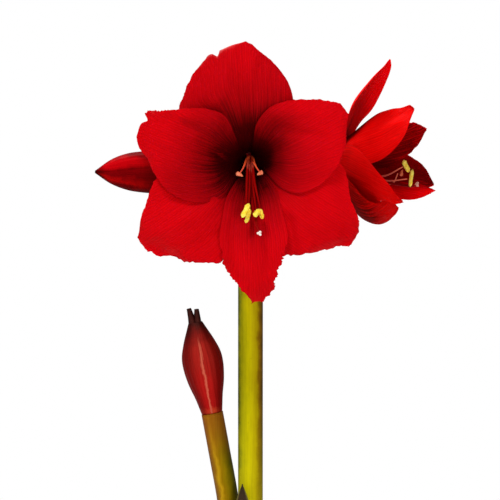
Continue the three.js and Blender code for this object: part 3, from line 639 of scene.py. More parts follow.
def ridge(x, y, start, end, half, depth):
    """A soft ridge along the line from start to end, seen along the flower's axis."""
    start, run = np.array(start, float), np.subtract(end, start)
    k = np.clip(((x - start[0]) * run[0] + (y - start[1]) * run[1]) / run.dot(run), 0, 1)
    away = np.hypot(x - start[0] - k * run[0], y - start[1] - k * run[1])
    return depth * np.exp(-(away / half) ** 2)


def torn(length, amount, seed):
    """How far a ragged margin stands out or in, along its length."""
    broad = 0.5 * wander(length, 7.0, seed)
    teeth = 0.75 * np.abs(wander(length, 2.4, seed + 12)) + 0.5 * np.abs(wander(length, 1.2, seed + 26))
    return amount * (broad + teeth - 0.35)


def frayed(top, bottom, spec, q, u):
    """Both faces of a tepal with their margins pushed out or in along the sheet."""
    for side, edge, inner, amount in ((1, -1, -2, spec["fray"][0]), (-1, 0, 1, spec["fray"][1])):
        margin = 0.5 * (top[:, edge] + bottom[:, edge])
        step = margin - 0.5 * (top[:, inner] + bottom[:, inner])
        run = unit(np.gradient(margin, axis=0))
        away = unit(step - run * np.einsum("ij,ij->i", step, run)[:, None])
        push = torn(lengths(margin), amount, int(spec["at"]) + 11 + side) * smooth(q[:, 0], 0.42, 0.62)
        weight = smooth(side * u, 0.72, 1) ** 1.5
        shift = push[:, None, None] * weight[0][None, :, None] * away[:, None, :]
        top, bottom = top + shift, bottom + shift
    return top, bottom


def tepal(bloom, key, flower, spec, material, rows, columns):
    """A petal: its relief, its two faces, and the numbers that its material reads."""
    q = np.linspace(0, 1, rows + 1)
    u = np.sin(np.linspace(-0.5, 0.5, columns + 1) * math.pi * 0.86) / math.sin(0.43 * math.pi)
    left, right = spline(spec["rows"], q)[:, 2:].T[:, :, None]
    slope = unit(spline(spec["rows"], q + 0.01)[:, :2] - spline(spec["rows"], q - 0.01)[:, :2])
    q, u = q[:, None], u[None, :]
    width = np.where(u > 0, left, right)
    angle = np.radians(spec["at"] + u * width)
    fine = np.linspace(0, 1, 400)
    line = spline(spec["rows"], fine)[:, :2]
    length = lengths(line)
    reached = np.interp(q, fine, length) + 0 * angle
    for place, depth, wide in spec.get("notch", ()):
        beside = (np.degrees(angle) - place) / wide
        reached = reached - depth * np.exp(-beside**2) * smooth(q, 0.6, 1)
    radius, height = np.interp(reached, length, line[:, 0]), np.interp(reached, length, line[:, 1])
    swing, waves, phase = spec["ruffle"]
    cup_left, cup_right, cup_from, cup_to = spec.get("cup", (0, 0, 0, 1))
    wave = np.sin(TURN * waves * q + phase + 2.1 * (u > 0)) * smooth(q, 0.4, 0.8)
    out = (spec["lift"] + spec.get("rise", 0) * smooth(q, 0.3, 1) + swing * np.abs(u) ** 2.5 * wave
           + np.where(u > 0, cup_left, cup_right) * u * u * smooth(q, cup_from, cup_to))
    seed = int(spec["at"])
    bend = u + 0.035 * patches(q * 5 + 0 * u, u * 4 + 9, seed)
    rib = np.cos(TURN * RIBS * bend) * smooth(q, 0.12, 0.35) * (1 - smooth(q, 0.85, 1))
    midrib = np.exp(-(bend / 0.06) ** 2) * (1 - smooth(q, 0.4, 0.95)) * smooth(q, 0.1, 0.3)
    pucker = patches(q * 7 + 3, u * 3 + 5, seed + 1) * smooth(q, 0.3, 0.6)
    relief = 0.04 * rib - 0.25 * midrib + 0.35 * pucker
    for fold in spec.get("folds", ()):
        relief = relief + ridge(radius * np.cos(angle), radius * np.sin(angle), *fold)
    thick = PETAL * (0.25 + 0.75 * np.sqrt(np.clip(1 - np.abs(u) ** 6, 0, 1))) * (1 - 0.6 * smooth(q, 0.9, 1))

    def face(offset):
        total = out + relief + offset
        r = radius - slope[:, 1:2] * total
        return flower.at(r * np.cos(angle), r * np.sin(angle), SEAT + height + slope[:, :1] * total)

    top, bottom = frayed(face(thick / 2), face(-thick / 2), spec, q, u)
    half = np.radians(width) * radius
    widest = np.maximum.accumulate(half, axis=0)
    far = radius if flower is FRONT else height
    # The dark throat is partly the flower's own colour and partly painted shade.
    reach = far / np.interp(u, (-1, -0.5, 0, 0.5, 1), spec["throat"])
    points, faces, values = sheet(top, bottom, along=q, across=u, reach=reach, back=0.0,
                                  vein=u * half / widest * widest[-1:], spread=widest / widest[-1:])
    # Back faces get a low reach at their foot: painted shade there, partly over the foot's own darker colour,
    # leaning across by the last number.
    low, high, skew = spec.get("dark_foot_and_shade", (-2, -1, 0))
    behind = slice(angle.size, None)
    values["back"][behind] = 1.0
    values["reach"][behind] = 0.85 + 1.6 * smooth((far + skew * u).ravel(), low, high)
    piece(f"petal_{bloom}_{key}", (points, faces, values), material, f"{bloom}_tepal_{key}")


# Stamens and styles. A stamen is the path of its thread and the direction and length of its anther.
FILAMENT = dict(radii=(0.95, 1.0, 0.95, 0.85, 0.45),
                ring=((1.6, 0.4), (1.6, 2.2), (2.0, 2.5), (2.5, 2.5), (2.9, 2.0), (2.9, 0.4)))
ANTHER = dict(radius=1.9, gap=0.35, outline=(0.1, 0.8, 0.98, 0.94, 1, 0.94, 1, 0.96, 0.8, 0.1))
FILAMENT_TIP = 0.7
STYLE_RADII = (0.8, 0.85, 0.9, 0.9)
STIGMA = dict(reach=1.9, radii=(0.7, 0.85, 1.0, 1.05, 0.85, 0.2))
RIPE = [1.02] * 10                      # how plump an open anther is along its length
CLOSED = [0.9, 0.92, 0.9, 0.85, 0.8, 0.72, 0.6, 0.48, 0.36, 0.3]
FRONT_STAMENS = [
    ([(-2, 0.5, 1), (-1.8, 2.4, 30), (-2.4, -13.5, 62), (-3, -32.6, 86)], (-5.4, -10.4, 2)),
    ([(-1.9, -0.9, 1), (-0.4, 1, 30), (-0.5, -17.5, 62), (-1.4, -37, 80)], (-3.2, -10.4, 2)),
    ([(1.9, -0.9, 1), (1.3, 0, 30), (2.4, -17.5, 62), (4.8, -35.4, 84.5)], (4.4, 5.2, 2)),
    ([(2, 0.5, 1), (1.6, 2.6, 30), (3.4, -13.5, 62), (8.3, -35.6, 80)], (1.8, -7.4, 2)),
    ([(-1.2, 1.7, 1), (-0.8, 3.8, 26), (-2.8, 2.4, 37), (-3.9, -0.6, 47), (-5.6, -4.4, 53), (-8.2, -8, 57)],
     (5.4, -2.2, 1.2)),
    ([(1.2, 1.7, 1), (1, 3.8, 26), (2.6, 2.4, 37), (3.3, -0.4, 47), (5.2, -3.6, 53), (7.8, -7, 57)],
     (-4.6, -2.4, 1.2)),
]
FRONT_STYLE = [(0, 0, 1), (0.2, -3.5, 16), (0.4, -8.4, 36), (1.4, -26.5, 64), (4.6, -43, 86), (7, -49.8, 92)]
SIDE_STAMENS = [
    ([(-2, 0.5, 1), (-5, -11, 34), (-6, -14, 61), (-8, -7, 78.6)], (-1.5, 9.6, -4.2)),
    ([(-1.9, -0.9, 1), (-4, -6, 30), (-8, -17, 62), (-9, -16.5, 82.5)], (0, 13.8, 1.8)),
    ([(1.2, 1.7, 1), (3.4, -7, 30), (3.2, -18.6, 60), (2.6, -18.6, 68), (1.5, -11.5, 72)], (0.4, 5.4, 1)),
    ([(2, 0.3, 1), (5, 1, 24), (9, -1, 40)], (0.6, 4, 4)),
    ([(1.9, -0.9, 1), (3.6, -2.6, 24), (5, -4.6, 41)], (0.6, 4, 4)),
    ([(-1.2, 1.7, 1), (-3.4, 3, 22), (-6, 3, 38)], (-1, 4, 4)),
]
SIDE_STYLE = [(0, 0, 1), (-0.3, -2.6, 14), (-1, -9, 34), (-3, -18, 62), (-4, -22, 84), (-4, -20.5, 89)]
YOUNG_ANTHERS = dict(front=(5, 6), side=(3,))
SHORT = 70                              # a front stamen that ends lower keeps its orange to its end
SHORT_ALONG = 0.4


def filaments(bloom, flower, stamens, material):
    """All six threads of a flower, on the small ring that joins their feet."""
    parts = []
    for path, _ in stamens:
        rings, q, _ = tube(flower.line(path), FILAMENT["radii"], 48, SIDES["thread"])
        end = SHORT_ALONG if flower is FRONT and path[-1][2] < SHORT else 1.0
        parts.append(solid(rings, along=q * end, side=0.0))
    angle = turns(24)
    ring = [flower.at(r * np.cos(angle), r * np.sin(angle), h) for r, h in FILAMENT["ring"]]
    parts.append(hoop(np.array(ring), along=0.0, side=0.0))
    piece(bloom + "_threads", gather(parts), material, bloom + "_filaments")


def anther(bloom, number, flower, stamen, material, plump):
    """A curved powdery anther with a groove down each flank."""
    (x, y, h), (dx, dy, dh) = stamen[0][-1], stamen[1]
    clear = FILAMENT_TIP + ANTHER["radius"] + ANTHER["gap"]
    lean = math.hypot(dh, dy)
    bow_y, bow_h = -0.6 * dh / lean, abs(0.6 * dy / lean)
    path = [flower.at(x + dx * k, y + dy * k + bow_y * bow, h + clear + dh * k + bow_h * bow)
            for k, bow in ((-0.45, 0.4), (-0.15, 0), (0.2, 0), (0.55, 0.8))]
    seed = int(abs(x * 10 + y * 7 + h)) + 3

    def lumps(q, angle):
        grooves = 1 - 0.2 * np.abs(np.cos(angle)) ** 6
        return grooves * (1 + 0.2 * patches(q * 8 + 0 * angle, 2 + np.cos(angle) * 1.6 + np.sin(angle), seed))

    radii = [k * ANTHER["radius"] * w for k, w in zip(ANTHER["outline"], plump)]
    rings, _, _ = tube(path, radii, 40, SIDES["anther"], lumps)
    piece(f"{bloom}_pollen_{number}", solid(rings), material, f"{bloom}_anther_{number}")


def style(bloom, flower, path, material):
    """The style with its three stigma lobes at the end."""
    rings, q, _ = tube(flower.line(path), STYLE_RADII, 60, SIDES["style"])
    parts = [solid(rings, along=0.8 * q, side=0.0)]
    x, y, h = path[-1]
    reach = STIGMA["reach"]
    for turn in np.radians((60, 180, 300)):
        lobe = [(x + k * math.cos(turn), y + k * math.sin(turn), h + rise)
                for k, rise in ((0, -1.2), (0.5 * reach, 0.2), (reach, 1.2))]
        rings, q, _ = tube(flower.line(lobe), STIGMA["radii"], 16, SIDES["lobe"])
        parts.append(solid(rings, along=0.92 + 0.08 * q, side=0.0))
    piece(bloom + "_stigma", gather(parts), material, bloom + "_style")


# Stalks, scapes, bud and spathe
STALK = dict(pedicel=4.2, ovary=6.2, waist=5)
STALK_FOOT = (SCAPE_MAIN["top"] + GAP, SCAPE_MAIN["top"] + 6)
STALKS = dict(
    front=((0, -7), [(0, -9, 500), (0, -14, 512), FRONT.at(0, 0, -13), FRONT.at(0, 0, 0)], TUBE_MOUTH),
    side=((5.4, 1), [(7, 2.4, 499), (14, 4.5, 511), (26, 5.5, 519.5), SIDE.at(0, 0, -12), SIDE.at(0, 0, 0)],
          TUBE_MOUTH),
    bud=((-4.6, 1), [(-7, 1.6, 498), (-14, 1, 504), (-24, 0, 506.4), (-36, 0, 507.6)], 6.3),
)
BUD = dict(start=(-36.3, 0, 507.6), end=(-124, 0, 512.5), turn=0.6,
           radii=(6.3, 9.8, 14, 16.4, 16.2, 14.2, 9.4, 0.9))
SPATHE_ROWS = [(0, 8), (5, 9), (14, 10.8), (26, 13.8), (38, 15.4), (48, 15), (58, 12), (66, 8.8), (74, 5.4)]
SPATHE = dict(thick=0.82, keel=0.06, horn_from=62, horn_top=86, horn_radii=(3.7, 3.6, 2.8, 1.8))
BRACT = dict(width=9, bend=13, top=476, drop=38, out=10.8, thick=0.5)
SECOND_PATH = [(-11, 17, 150), (-11.4, 16.6, 175), (-13.2, 14.4, 212), (-17.9, 11.4, 250), (-24.3, 9, 286),
               (-30.4, 7, SCAPE_SECOND["top"])]


def stem(name, node, path, radii, steps, sides, material, shape):
    """A stem as a fine tube. side runs from -1 to 1 across it, as seen from in front."""
    rings, q, _ = tube(path, radii, steps, sides, shape)
    piece(name, solid(rings, along=q, side=toward(rings, 0)), material, node)


def lobed(q, angle):
    """An ovary with three lobes, part of the way along its stalk."""
    swell = smooth(q, 0.45, 0.6) * (1 - smooth(q, 0.75, 0.9))
    return 1 + 0.07 * np.sin(3 * angle) * swell + 0.012 * np.sin(9 * angle)


def oval(q, angle):
    """A scape that is not quite round, and faintly ribbed."""
    ribs = 0.003 * np.cos(18 * angle)
    return 1 + 0.012 * np.sin(2 * angle + 1.5 * q) + 0.006 * np.sin(5 * angle + 4 * q) + ribs


def stalk(key, foot, path, mouth, material):
    pedicel, ovary, waist = STALK["pedicel"], STALK["ovary"], STALK["waist"]
    radii = [pedicel, pedicel, pedicel, pedicel + 0.3, ovary, ovary, waist, mouth - 0.8, mouth]
    path = [(*foot, z) for z in STALK_FOOT] + path
    stem(f"stalk_{key}_green", f"stalk_{key}", path, radii, 80, SIDES["stalk"], material,
         lobed)


def bud(material):
    """The closed bud: tepals wrapped round each other, each lapping over the next."""
    start, end = np.array(BUD["start"], float), np.array(BUD["end"], float)
    path = [start + (end - start) * k + np.array([0, 0, 1.5 * math.sin(math.pi * k)])
            for k in (0, 0.35, 0.7, 1)]

    def wrapped(q, angle):
        turned = angle + BUD["turn"] * q
        lap = ((turned + 0.5) * 3 / TURN) % 1
        step = 0.05 * smooth(lap, 0.0, 0.9) * (1 - smooth(lap, 0.93, 1.0)) * smooth(q, 0.03, 0.2)
        ribs = 0.006 * np.cos(24 * turned) * (1 - smooth(q, 0.8, 1))
        return 0.98 + 0.045 * np.sin(3 * turned) + step + ribs

    rings, q, angle = tube(path, BUD["radii"], 110, SIDES["bud"], wrapped)
    lap = ((angle + BUD["turn"] * q + 0.5) * 3 / TURN) % 1
    seam = np.exp(-(np.minimum(lap, 1 - lap) / 0.035) ** 2) * smooth(q, 0.1, 0.3)
    part = solid(rings, along=q, up=toward(rings, 2), seam=seam, side=np.cos(angle))
    piece("bud_closed", part, material, "bud")


def spathe(material):
    """Two valves pressed together: a seam down the front and back, and two dry horns."""
    tall = SPATHE_ROWS[-1][0]
    height = np.linspace(0, tall, 90)[:, None]
    fine = spline(SPATHE_ROWS, np.linspace(0, 1, 400))
    angle, k = turns(SIDES["spathe"]), height / tall
    seam = (angle - (-math.pi / 2 + 0.45 - 0.35 * k)) % TURN
    back = (angle - math.pi / 2) % TURN
    lap = 0.045 * (1 - smooth(seam, 0.0, 1.4)) * smooth(seam, 0.0, 0.05) * smooth(k, 0.03, 0.15)
    lap = lap + 0.04 * (1 - smooth(back, 0.0, 1.4)) * smooth(back, 0.0, 0.05)
    ribs = 0.012 * np.cos(22 * angle + 2 * k) * smooth(k, 0.1, 0.3) * (1 - smooth(k, 0.8, 1))
    keel = 1 + SPATHE["keel"] * np.cos(2 * angle)
    size = np.interp(height, fine[:, 0], fine[:, 1]) * keel * (0.985 + lap + ribs)
    rings = np.stack([size * np.cos(angle), size * SPATHE["thick"] * np.sin(angle), height + 0 * size], -1)
    parts = [solid(rings, along=k * 0.86, side=np.cos(angle))]
    low = SPATHE["horn_from"]
    for turn, top in ((-1, SPATHE["horn_top"]), (1, SPATHE["horn_top"] - 1.5)):
        path = [(turn * 1.8, 0, low), (turn * 2.1, 0, low + 13), (turn * 3, 0, top)]
        horn, k, ring = tube(path, SPATHE["horn_radii"], 30, SIDES["horn"],
                             lambda q, a: 1 + 0.12 * np.cos(a - 1.2) + 0.05 * np.sin(3 * a + 5 * q))
        parts.append(solid(horn, along=0.72 + 0.28 * k, side=np.cos(ring)))
    points, faces, values = gather(parts)
    end = np.array(SECOND_PATH[-1], float)
    lean = unit(end - np.array(SECOND_PATH[-2], float))
    matrix = np.array(Vector((0, 0, 1)).rotation_difference(Vector(lean)).to_matrix())
    points = points @ matrix.T + end + lean * GAP
    piece("spathe_valves", (points, faces, values), material, "spathe_bud")


def bract(key, side, material):
    """A dry spathe valve hanging behind the open flower."""
    q, u = grid(61, 41)
    width = BRACT["width"] * (0.55 + 0.6 * q) * (1 - 0.9 * q**4)
    angle = math.radians(20 if side > 0 else 160) + u * width / BRACT["bend"]
    crinkle = 0.35 * patches(q * 8 + 2, u * 3 + 4, 5 + side) + 0.12 * np.cos(TURN * 6 * u)
    droop = BRACT["top"] - BRACT["drop"] * q + 6 * np.sin(math.pi * q) + 0 * u
    droop = droop - 0.8 * wander(u * 10 + 0 * q, 1.6, 9) * smooth(q, 0.85, 1)

    def face(offset):
        out = BRACT["out"] + 12 * q - 8 * q * q + crinkle * smooth(q, 0.1, 0.4) + offset
        return polar(SCAPE_MAIN["x"], SCAPE_MAIN["y"], out, angle, droop)

    part = sheet(face(BRACT["thick"] / 2), face(-BRACT["thick"] / 2), around=0.1 * u, along=q)
    piece(f"bract_{key}_dry", part, material, "bract_" + key)


# Leaves
LEAVES = dict(
    leaf_front=dict(at=-96, start=20.6, tip=264.5, lean=-0.8, width=11.5, bend=20),
    leaf_right=dict(at=8, start=21.5, tip=226, lean=6, width=12.5, bend=20),
    leaf_back=dict(at=74, start=25.6, tip=240, lean=4, width=12, bend=22),
    leaf_left=dict(at=192, start=20.6, tip=214, lean=9, width=12, bend=19),
)
LEAF_THICK = 1.9


def leaf(name, spec, material):
    """A strap leaf, channelled towards the scapes."""
    foot = BULB["top"] - SOCKET
    turn = math.radians(spec["at"])
    away = np.array([math.cos(turn), math.sin(turn), 0])
    sideways = np.array([-math.sin(turn), math.cos(turn), 0])
    q, u = grid(91, 41)
    half = np.maximum(spec["width"] * np.minimum(1, 1.02 * (1 - q**5)) * (1 - 0.12 * q), 0.4)
    angle = u * half / spec["bend"]
    rib = 0.1 * np.cos(TURN * 7 * u) * smooth(q, 0.1, 0.2) * (1 - smooth(q, 0.9, 1))
    thick = LEAF_THICK * (0.3 + 0.7 * np.sqrt(1 - np.abs(u) ** 4)) * (1 - 0.6 * smooth(q, 0.85, 1))

    def face(offset):
        out = spec["start"] + spec["lean"] * q * q + spec["bend"] * (np.cos(angle) - 1)
        out = out + offset * np.cos(angle)
        over = (spec["bend"] + offset) * np.sin(angle)
        centre = np.array([BULB["x"], BULB["y"], foot]) + q[..., None] * np.array([0, 0, spec["tip"] - foot])
        return centre + out[..., None] * away + over[..., None] * sideways

    part = sheet(face(thick / 2 + rib), face(-thick / 2 + rib), along=q, across=u)
    piece(name + "_blade", part, material, name)


# Bulb, soil and pot. A flake is (direction, half span, foot, height), with angles in degrees.
FLAKES = [(-150, 62, 108, 30), (-62, 50, 112, 34), (25, 60, 106, 28), (105, 54, 110, 33), (178, 40, 118, 40),
          (-118, 30, 140, 34), (-20, 34, 138, 35), (62, 30, 142, 33), (140, 34, 139, 36), (-170, 26, 143, 31)]
CRUMBS = 420


def bulb_profile():
    foot, radius, widest, top, neck = (BULB[k] for k in ("foot", "radius", "widest", "top", "neck"))
    rows = [(17, foot), (31, foot + 9), (radius - 2, foot + 24), (radius, widest), (radius - 5, widest + 22),
            (neck + 3, top - 18), (neck, top)]
    return spline(rows, np.linspace(0, 1, 110))


def bulb(material):
    """The bulb in its skin, the ring of old leaf bases at its neck, and its roots."""
    foot, top, neck = BULB["foot"], BULB["top"], BULB["neck"]
    crown = [(neck - inward, top + rise) for inward, rise in (
        (1.2, 0.6), (2.6, -0.6), (3.4, -3.4), (4.6, -3.8), (5.4, -2.2), (6.6, -2.4), (7.4, -5), (9, -5.4))]
    outline = np.array([(0.5, foot), *bulb_profile().tolist(), *crown, (8, top - 6), (0.5, top - 6)])
    angle = turns(SIDES["bulb"])
    q = np.linspace(0, 1, len(outline))[:, None]
    wobble = 1 + 0.012 * np.sin(2 * angle + 0.7) + 0.008 * np.sin(5 * angle + 3 * q)
    skin = patches(angle * 9 + 0 * q, q * 9 + 4, 3) * 0.35 + 0.3 * np.cos(40 * angle + 3 * q)
    body = smooth(q, 0.04, 0.2) * (1 - smooth(q, 0.9, 0.98))
    radius = outline[:, :1] * (1 + (wobble - 1) * body) + skin * body * 0.5
    height = outline[:, 1:] + 0 * angle + 0.5 * (1 - body) * (q > 0.5) * np.sin(7 * angle)
    rings = polar(BULB["x"], BULB["y"], radius, angle, height)
    parts = [solid(rings, around=np.abs(((angle / math.pi) % 2) - 1) * 2, along=q)]
    reach = ROOT["reach"]
    for i in range(ROOT["count"]):
        turn = i / ROOT["count"] * TURN + 0.3 * (i % 2)
        tip = ROOT["tip"] + 7 * (i % 3)
        stops = [(11, foot + 8), (15, foot - 4), (reach, (foot + tip) / 2), (reach + 4, tip)]
        path = [(BULB["x"] + out * math.cos(turn), BULB["y"] + out * math.sin(turn), z) for out, z in stops]
        root, _, _ = tube(path, [ROOT["radius"] * k for k in (1, 1, 0.6)], 24, SIDES["root"])
        parts.append(solid(root, around=0.0, along=0.0))
    piece("bulb_body", gather(parts), material, "bulb")


def bulb_scales(material):
    """Loose papery flakes on the bulb's shoulder and round its neck, with torn upper edges."""
    profile = bulb_profile()
    q, u = grid(37, 46)
    parts = []
    for number, (middle, span, low, tall) in enumerate(FLAKES):
        angle = np.radians(middle + u * span * (1 - 0.25 * q**2) + 3 * wander(q * 40, 9, number))
        ragged = 1 - 0.16 * np.abs(wander(u * 30 + 0 * q, 4.0, number + 40)) - 0.25 * np.abs(u) ** 3
        z = low + q * tall * ragged
        radius = np.interp(z, profile[:, 1], profile[:, 0])
        peel = 0.8 + 2.2 * smooth(q, 0.75, 1) * (0.6 + 0.4 * np.sin(3 * u + number))
        peel = peel + 0.5 * smooth(np.abs(u), 0.7, 1)
        crease = 0.3 * patches(u * 4 + 5, q * 5 + 2, number + 3) + 0.14 * np.cos(angle * 40)
        faces = [polar(BULB["x"], BULB["y"], radius + peel + crease * smooth(q, 0.05, 0.2) + offset, angle, z)
                 for offset in (0.2, -0.2)]
        parts.append(sheet(*faces, around=angle / math.pi * 2, along=q))
    piece("bulb_loose_skin", gather(parts), material)


def pot_radius(z):
    return POT["foot"] + (POT["rim_outer"] - POT["rim_step"] - POT["foot"]) * z / POT["height"]


def rounded(outline, radius, steps=6):
    """An outline of (r, z) corners with each inner corner rounded."""
    made = [outline[0]]
    for before, corner, after in zip(outline, outline[1:], outline[2:]):
        corner = np.array(corner, float)
        to_before, to_after = np.array(before) - corner, np.array(after) - corner
        cut = min(radius, 0.45 * np.linalg.norm(to_before), 0.45 * np.linalg.norm(to_after))
        a, b = corner + unit(to_before) * cut, corner + unit(to_after) * cut
        for k in np.linspace(0, 1, steps):
            made.append(tuple((1 - k) ** 2 * a + 2 * k * (1 - k) * corner + k**2 * b))
    return made + [outline[-1]]


def pot(material):
    """A turned clay pot with its drain holes cut out."""
    height, foot, rim_outer, wall, floor = (POT[k] for k in ("height", "foot", "rim_outer", "wall", "floor"))
    rim = height - POT["rim_depth"]
    corners = rounded([
        (0.4, 0), (foot, 0), (pot_radius(rim), rim), (rim_outer, rim + 1.2), (rim_outer, height),
        (pot_radius(height) - wall, height), (pot_radius(floor) - wall, floor), (0.4, floor)], 1.8)
    dense = []
    for a, b in zip(corners, corners[1:]):
        count = max(1, int(np.linalg.norm(np.subtract(a, b)) / 3))
        dense += [tuple(np.add(a, np.multiply(np.subtract(b, a), k / count))) for k in range(count)]
    r, z = np.array(dense + [corners[-1]]).T[:, :, None]
    angle = turns(SIDES["pot"])
    r = r + 0.12 * np.sin(3 * angle + z / 30) * (r > 30)
    body = piece("pot_clay", solid(polar(0, 0, r, angle, z)), material, "pot")
    drains = []
    for i in range(POT_DRAIN["count"]):
        turn = i / POT_DRAIN["count"] * TURN + POT_DRAIN["first"]
        x, y = POT_DRAIN["out"] * math.cos(turn), POT_DRAIN["out"] * math.sin(turn)
        path = [(x, y, level) for level in (-2, 4, floor + 2)]
        rings, _, _ = tube(path, [POT_DRAIN["radius"]] * 3, 2, SIDES["drain"])
        drains.append(solid(rings))
    cutter = closed_object("drain_cutters", gather(drains))
    cut = body.modifiers.new("drains", "BOOLEAN")
    cut.operation = "DIFFERENCE"
    cut.object = cutter
    cut.solver = "EXACT"
    holed = bpy.data.meshes.new_from_object(body.evaluated_get(bpy.context.evaluated_depsgraph_get()))
    body.modifiers.remove(cut)
    body.data = holed
    bpy.data.objects.remove(cutter)


def soil(material):
    """Crumbly peat over the plain body of soil."""
    inner = np.array([BULB["x"], BULB["y"]])
    edge = pot_radius(SOIL_TOP) - POT["wall"] - GAP
    profile = bulb_profile()
    bulb_edge = np.interp(SOIL_TOP, profile[:, 1], profile[:, 0]) + 0.5
    angle = turns(SIDES["soil"])
    k = np.linspace(0, 1, 44)[:, None]
    radius = bulb_edge + (edge - bulb_edge) * k
    x = inner[0] * (1 - k) + radius * np.cos(angle)
    y = inner[1] * (1 - k) + radius * np.sin(angle)
    fine = patches(x / 2.2 + 40, y / 2.2 + 40, 1) + 0.6 * patches(x / 1.1 + 40, y / 1.1 + 40, 2)
    broad = patches(x / 9 + 20, y / 9 + 20, 3)
    top = SOIL_TOP + 1.6 + 0.9 * fine + 1.2 * broad - 1.5 * smooth(k, 0.85, 1)
    top = top + 1.2 * (1 - smooth(k, 0, 0.15))
    upper = np.stack([x, y, np.maximum(top, SOIL_TOP + 0.2)], -1)
    lower = np.stack([x, y, np.full_like(x, SOIL_TOP - 5.0)], -1)
    parts = [hoop(np.concatenate([upper, lower[[-1, 0]]]))]
    for _ in range(CRUMBS):
        turn, out = rng.uniform(0, TURN), rng.uniform(0.03, 0.97)
        r = bulb_edge + (edge - bulb_edge) * out - 0.5
        size = rng.uniform(0.7, 2.0)
        spot = inner * (1 - out) + r * np.array([math.cos(turn), math.sin(turn)])
        centre = np.array([*spot, SOIL_TOP + 2.2 + size * 0.4])
        if np.hypot(*spot) > edge - size - 0.5 or np.hypot(*(spot - inner)) < bulb_edge + size + 0.6:
            continue
        lat = np.linspace(0.15, math.pi - 0.15, 5)[:, None]
        lump = size * rng.uniform(0.75, 1.15, (5, 7))
        parts.append(solid(polar(0, 0, lump * np.sin(lat), turns(7), 0.8 * lump * np.cos(lat)) + centre))
    piece("soil_crumbs", gather(parts), material)


# Camera, light and floor. A light is (name, place, target, size, power).
LIGHTS = [("key", (-0.45, -1.2, 1.9), (0, -0.05, 0.5), 0.5, 19.5),
          ("top", (-0.5, 0.7, 1.8), (0, 0, 0.5), 0.8, 24.0),
          ("left", (-1.6, -1.0, 0.5), (0, 0, 0.45), 0.9, 5.0),
          ("front", (0.5, -1.65, 0.45), (0, 0, 0.5), 0.4, 9.0)]
CAMERA = dict(place=(0, -1.6, 0.45), target=(0, 0, 0.45), lens=144, sensor=36)
WORLD_LIGHT = 0.2
FLOOR_RADIUS = 1850


def look_from(obj, place, target):
    obj.location = place
    obj.rotation_euler = (Vector(target) - Vector(place)).to_track_quat("-Z", "Y").to_euler()


def studio():
    scene = bpy.context.scene
    camera = add("camera", bpy.data.cameras.new("camera"))
    camera.data.lens = CAMERA["lens"]
    camera.data.sensor_width = CAMERA["sensor"]
    look_from(camera, CAMERA["place"], CAMERA["target"])
    scene.camera = camera
    for name, place, target, size, power in LIGHTS:
        data = bpy.data.lights.new(name, "AREA")
        data.shape = "DISK"
        data.size = size
        data.energy = power
        look_from(add(name, data), place, target)
    scene.world = bpy.data.worlds.new("studio")
    scene.world.use_nodes = True
    tree = scene.world.node_tree
    tree.nodes.clear()
    kinds = ("LightPath", "MapRange", "Background", "OutputWorld")
    seen, strength, sky, out = (tree.nodes.new("ShaderNode" + kind) for kind in kinds)
    strength.inputs["To Min"].default_value = WORLD_LIGHT
    strength.inputs["To Max"].default_value = 1.0
    sky.inputs["Color"].default_value = (1, 1, 1, 1)
    tree.links.new(seen.outputs["Is Camera Ray"], strength.inputs["Value"])
    tree.links.new(strength.outputs[0], sky.inputs["Strength"])
    tree.links.new(sky.outputs[0], out.inputs[0])
    look = Finish("floor")
    shade = look.mix(look.noise(6.0), (226, 226, 224), (232, 232, 230))
    mesh = bpy.data.meshes.new("floor")
    reach = FLOOR_RADIUS * MM
    rim = [(reach * math.cos(a), reach * math.sin(a), 0.0) for a in turns(SIDES["floor"])]
    mesh.from_pydata(rim, [], [tuple(range(len(rim)))])
    mesh.materials.append(look.done(shade, 0.8))
    add("floor", mesh)
    scene.view_settings.view_transform = "Standard"
    scene.view_settings.look = "None"


studio()

# The side flower's reds are a lighter copy of the front flower's petal red: painted light.
front_petal = petal_finish("front_petal", (200, 3, 14), (190, 5, 10), 0.55, 0.25, 0.12)
side_petal = petal_finish("side_petal", (238, 3, 11), (248, 9, 9), 0.6, 0.75, 0.01)
# Each scape's stops: a painted highlight left of its middle and painted shade towards its edges.
main_scape_look = scape_finish(
    "scape_main",
    [(0.0, 76, 84, 20), (0.07, 130, 134, 20), (0.16, 166, 160, 8), (0.45, 206, 192, 4), (0.74, 184, 160, 6),
     (0.85, 140, 100, 8), (1.0, 90, 62, 8)],
    (190, 180, 12), (152, 138, 6))
second_scape_look = scape_finish(
    "scape_second",
    [(0.02, 130, 84, 18), (0.16, 150, 104, 14), (0.28, 190, 146, 18), (0.4, 150, 114, 4), (0.6, 136, 112, 2),
     (0.85, 88, 82, 6), (1.0, 70, 66, 8)],
    (126, 98, 4), (150, 84, 18))
filament_look = along_finish(
    "filament", [(0.0, 240, 100, 48), (0.3, 244, 88, 44), (0.42, 226, 92, 70), (0.5, 150, 6, 5),
                 (1.0, 150, 3, 3)],
    0.08, gloss_tint=(255, 150, 120))
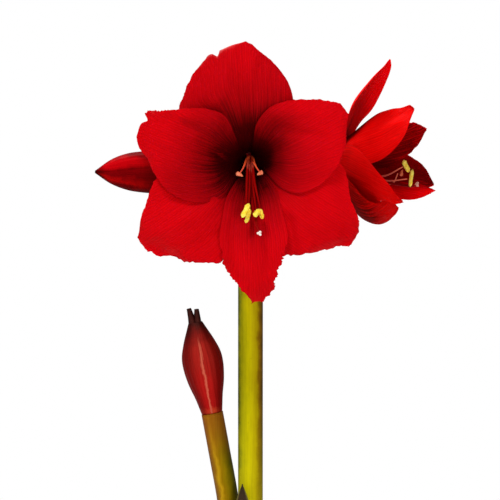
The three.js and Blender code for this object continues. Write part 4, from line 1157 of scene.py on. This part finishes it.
# The side threads darken towards their feet: painted shade deep inside the flower.
side_filament_look = along_finish(
    "side_filament", [(0.0, 90, 4, 4), (0.45, 110, 6, 8), (0.75, 190, 60, 60), (1.0, 240, 120, 90)], 0.05)
style_look = along_finish(
    "style", [(0.0, 214, 70, 40), (0.3, 150, 6, 5), (0.84, 140, 4, 4), (0.88, 250, 236, 226)], 0.04)
side_style_look = along_finish(
    "side_style", [(0.0, 110, 6, 8), (0.7, 120, 8, 10), (0.84, 150, 20, 20), (0.88, 236, 170, 150)], 0.04)
stalk_look = along_finish(
    "stalk", [(0.0, 150, 140, 40), (0.45, 140, 140, 40), (0.7, 130, 110, 30), (0.9, 170, 40, 24),
              (1.0, 150, 8, 12)],
    0.2, roughness=0.42)
dry_look = skin_finish("dry_bract", (120, 66, 44), (168, 104, 72), (90, 46, 32))
skin_look = skin_finish("bulb_skin", (112, 62, 30), (150, 92, 48), (74, 38, 20))
loose_look = skin_finish("loose_skin", (134, 82, 44), (176, 122, 74), (96, 54, 28))
side_pollen = pollen_finish("pollen", (255, 208, 56), (255, 236, 110))
front_pollen = pollen_finish("front_pollen", (255, 206, 30), (255, 244, 100))
pink_pollen = pollen_finish("pink_pollen", (222, 96, 56), (236, 140, 104), 0.7, 0.5, 0.4)
earth, green = soil_finish(), leaf_finish()

for spec in FRONT_TEPALS.values():
    spec["rows"] = [on_funnel(*row) for row in spec["rows"]]
for key, spec in FRONT_TEPALS.items():
    tepal("front", key, FRONT, spec, front_petal, *FRONT_GRID)
for key, spec in SIDE_TEPALS.items():
    tepal("side", key, SIDE, spec, side_petal, *SIDE_GRID)
blooms = [("front", FRONT, FRONT_STAMENS, FRONT_STYLE, (filament_look, style_look, front_pollen)),
          ("side", SIDE, SIDE_STAMENS, SIDE_STYLE, (side_filament_look, side_style_look, side_pollen))]
for bloom, flower, stamens, path, (thread_look, stigma_look, powder) in blooms:
    filaments(bloom, flower, stamens, thread_look)
    style(bloom, flower, path, stigma_look)
    for number, stamen in enumerate(stamens, 1):
        young = number in YOUNG_ANTHERS[bloom]
        anther(bloom, number, flower, stamen, *((pink_pollen, CLOSED) if young else (powder, RIPE)))
for key, (foot, path, mouth) in STALKS.items():
    stalk(key, foot, path, mouth, stalk_look)
bud(bud_finish())
spathe(spathe_finish())
bract("left", -1, dry_look)
bract("right", 1, dry_look)
x, y = SCAPE_MAIN["x"], SCAPE_MAIN["y"]
stem("scape_main_green", "scape_main", [(x, y, z) for z in (BULB["top"] - SOCKET, 300, SCAPE_MAIN["top"])],
     [SCAPE_MAIN["radius"]] * 3, 120, 72, main_scape_look, oval)
stem("scape_second_green", "scape_second", [(-11, 17, BULB["top"] - SOCKET), *SECOND_PATH[1:]],
     [SCAPE_SECOND["radius"]] * 6, 100, 72, second_scape_look, oval)
for name, spec in LEAVES.items():
    leaf(name, spec, green)
bulb(skin_look)
bulb_scales(loose_look)
pot(clay_finish())
soil(earth)
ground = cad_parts["soil"]
ground.data.materials.clear()
ground.data.materials.append(earth)
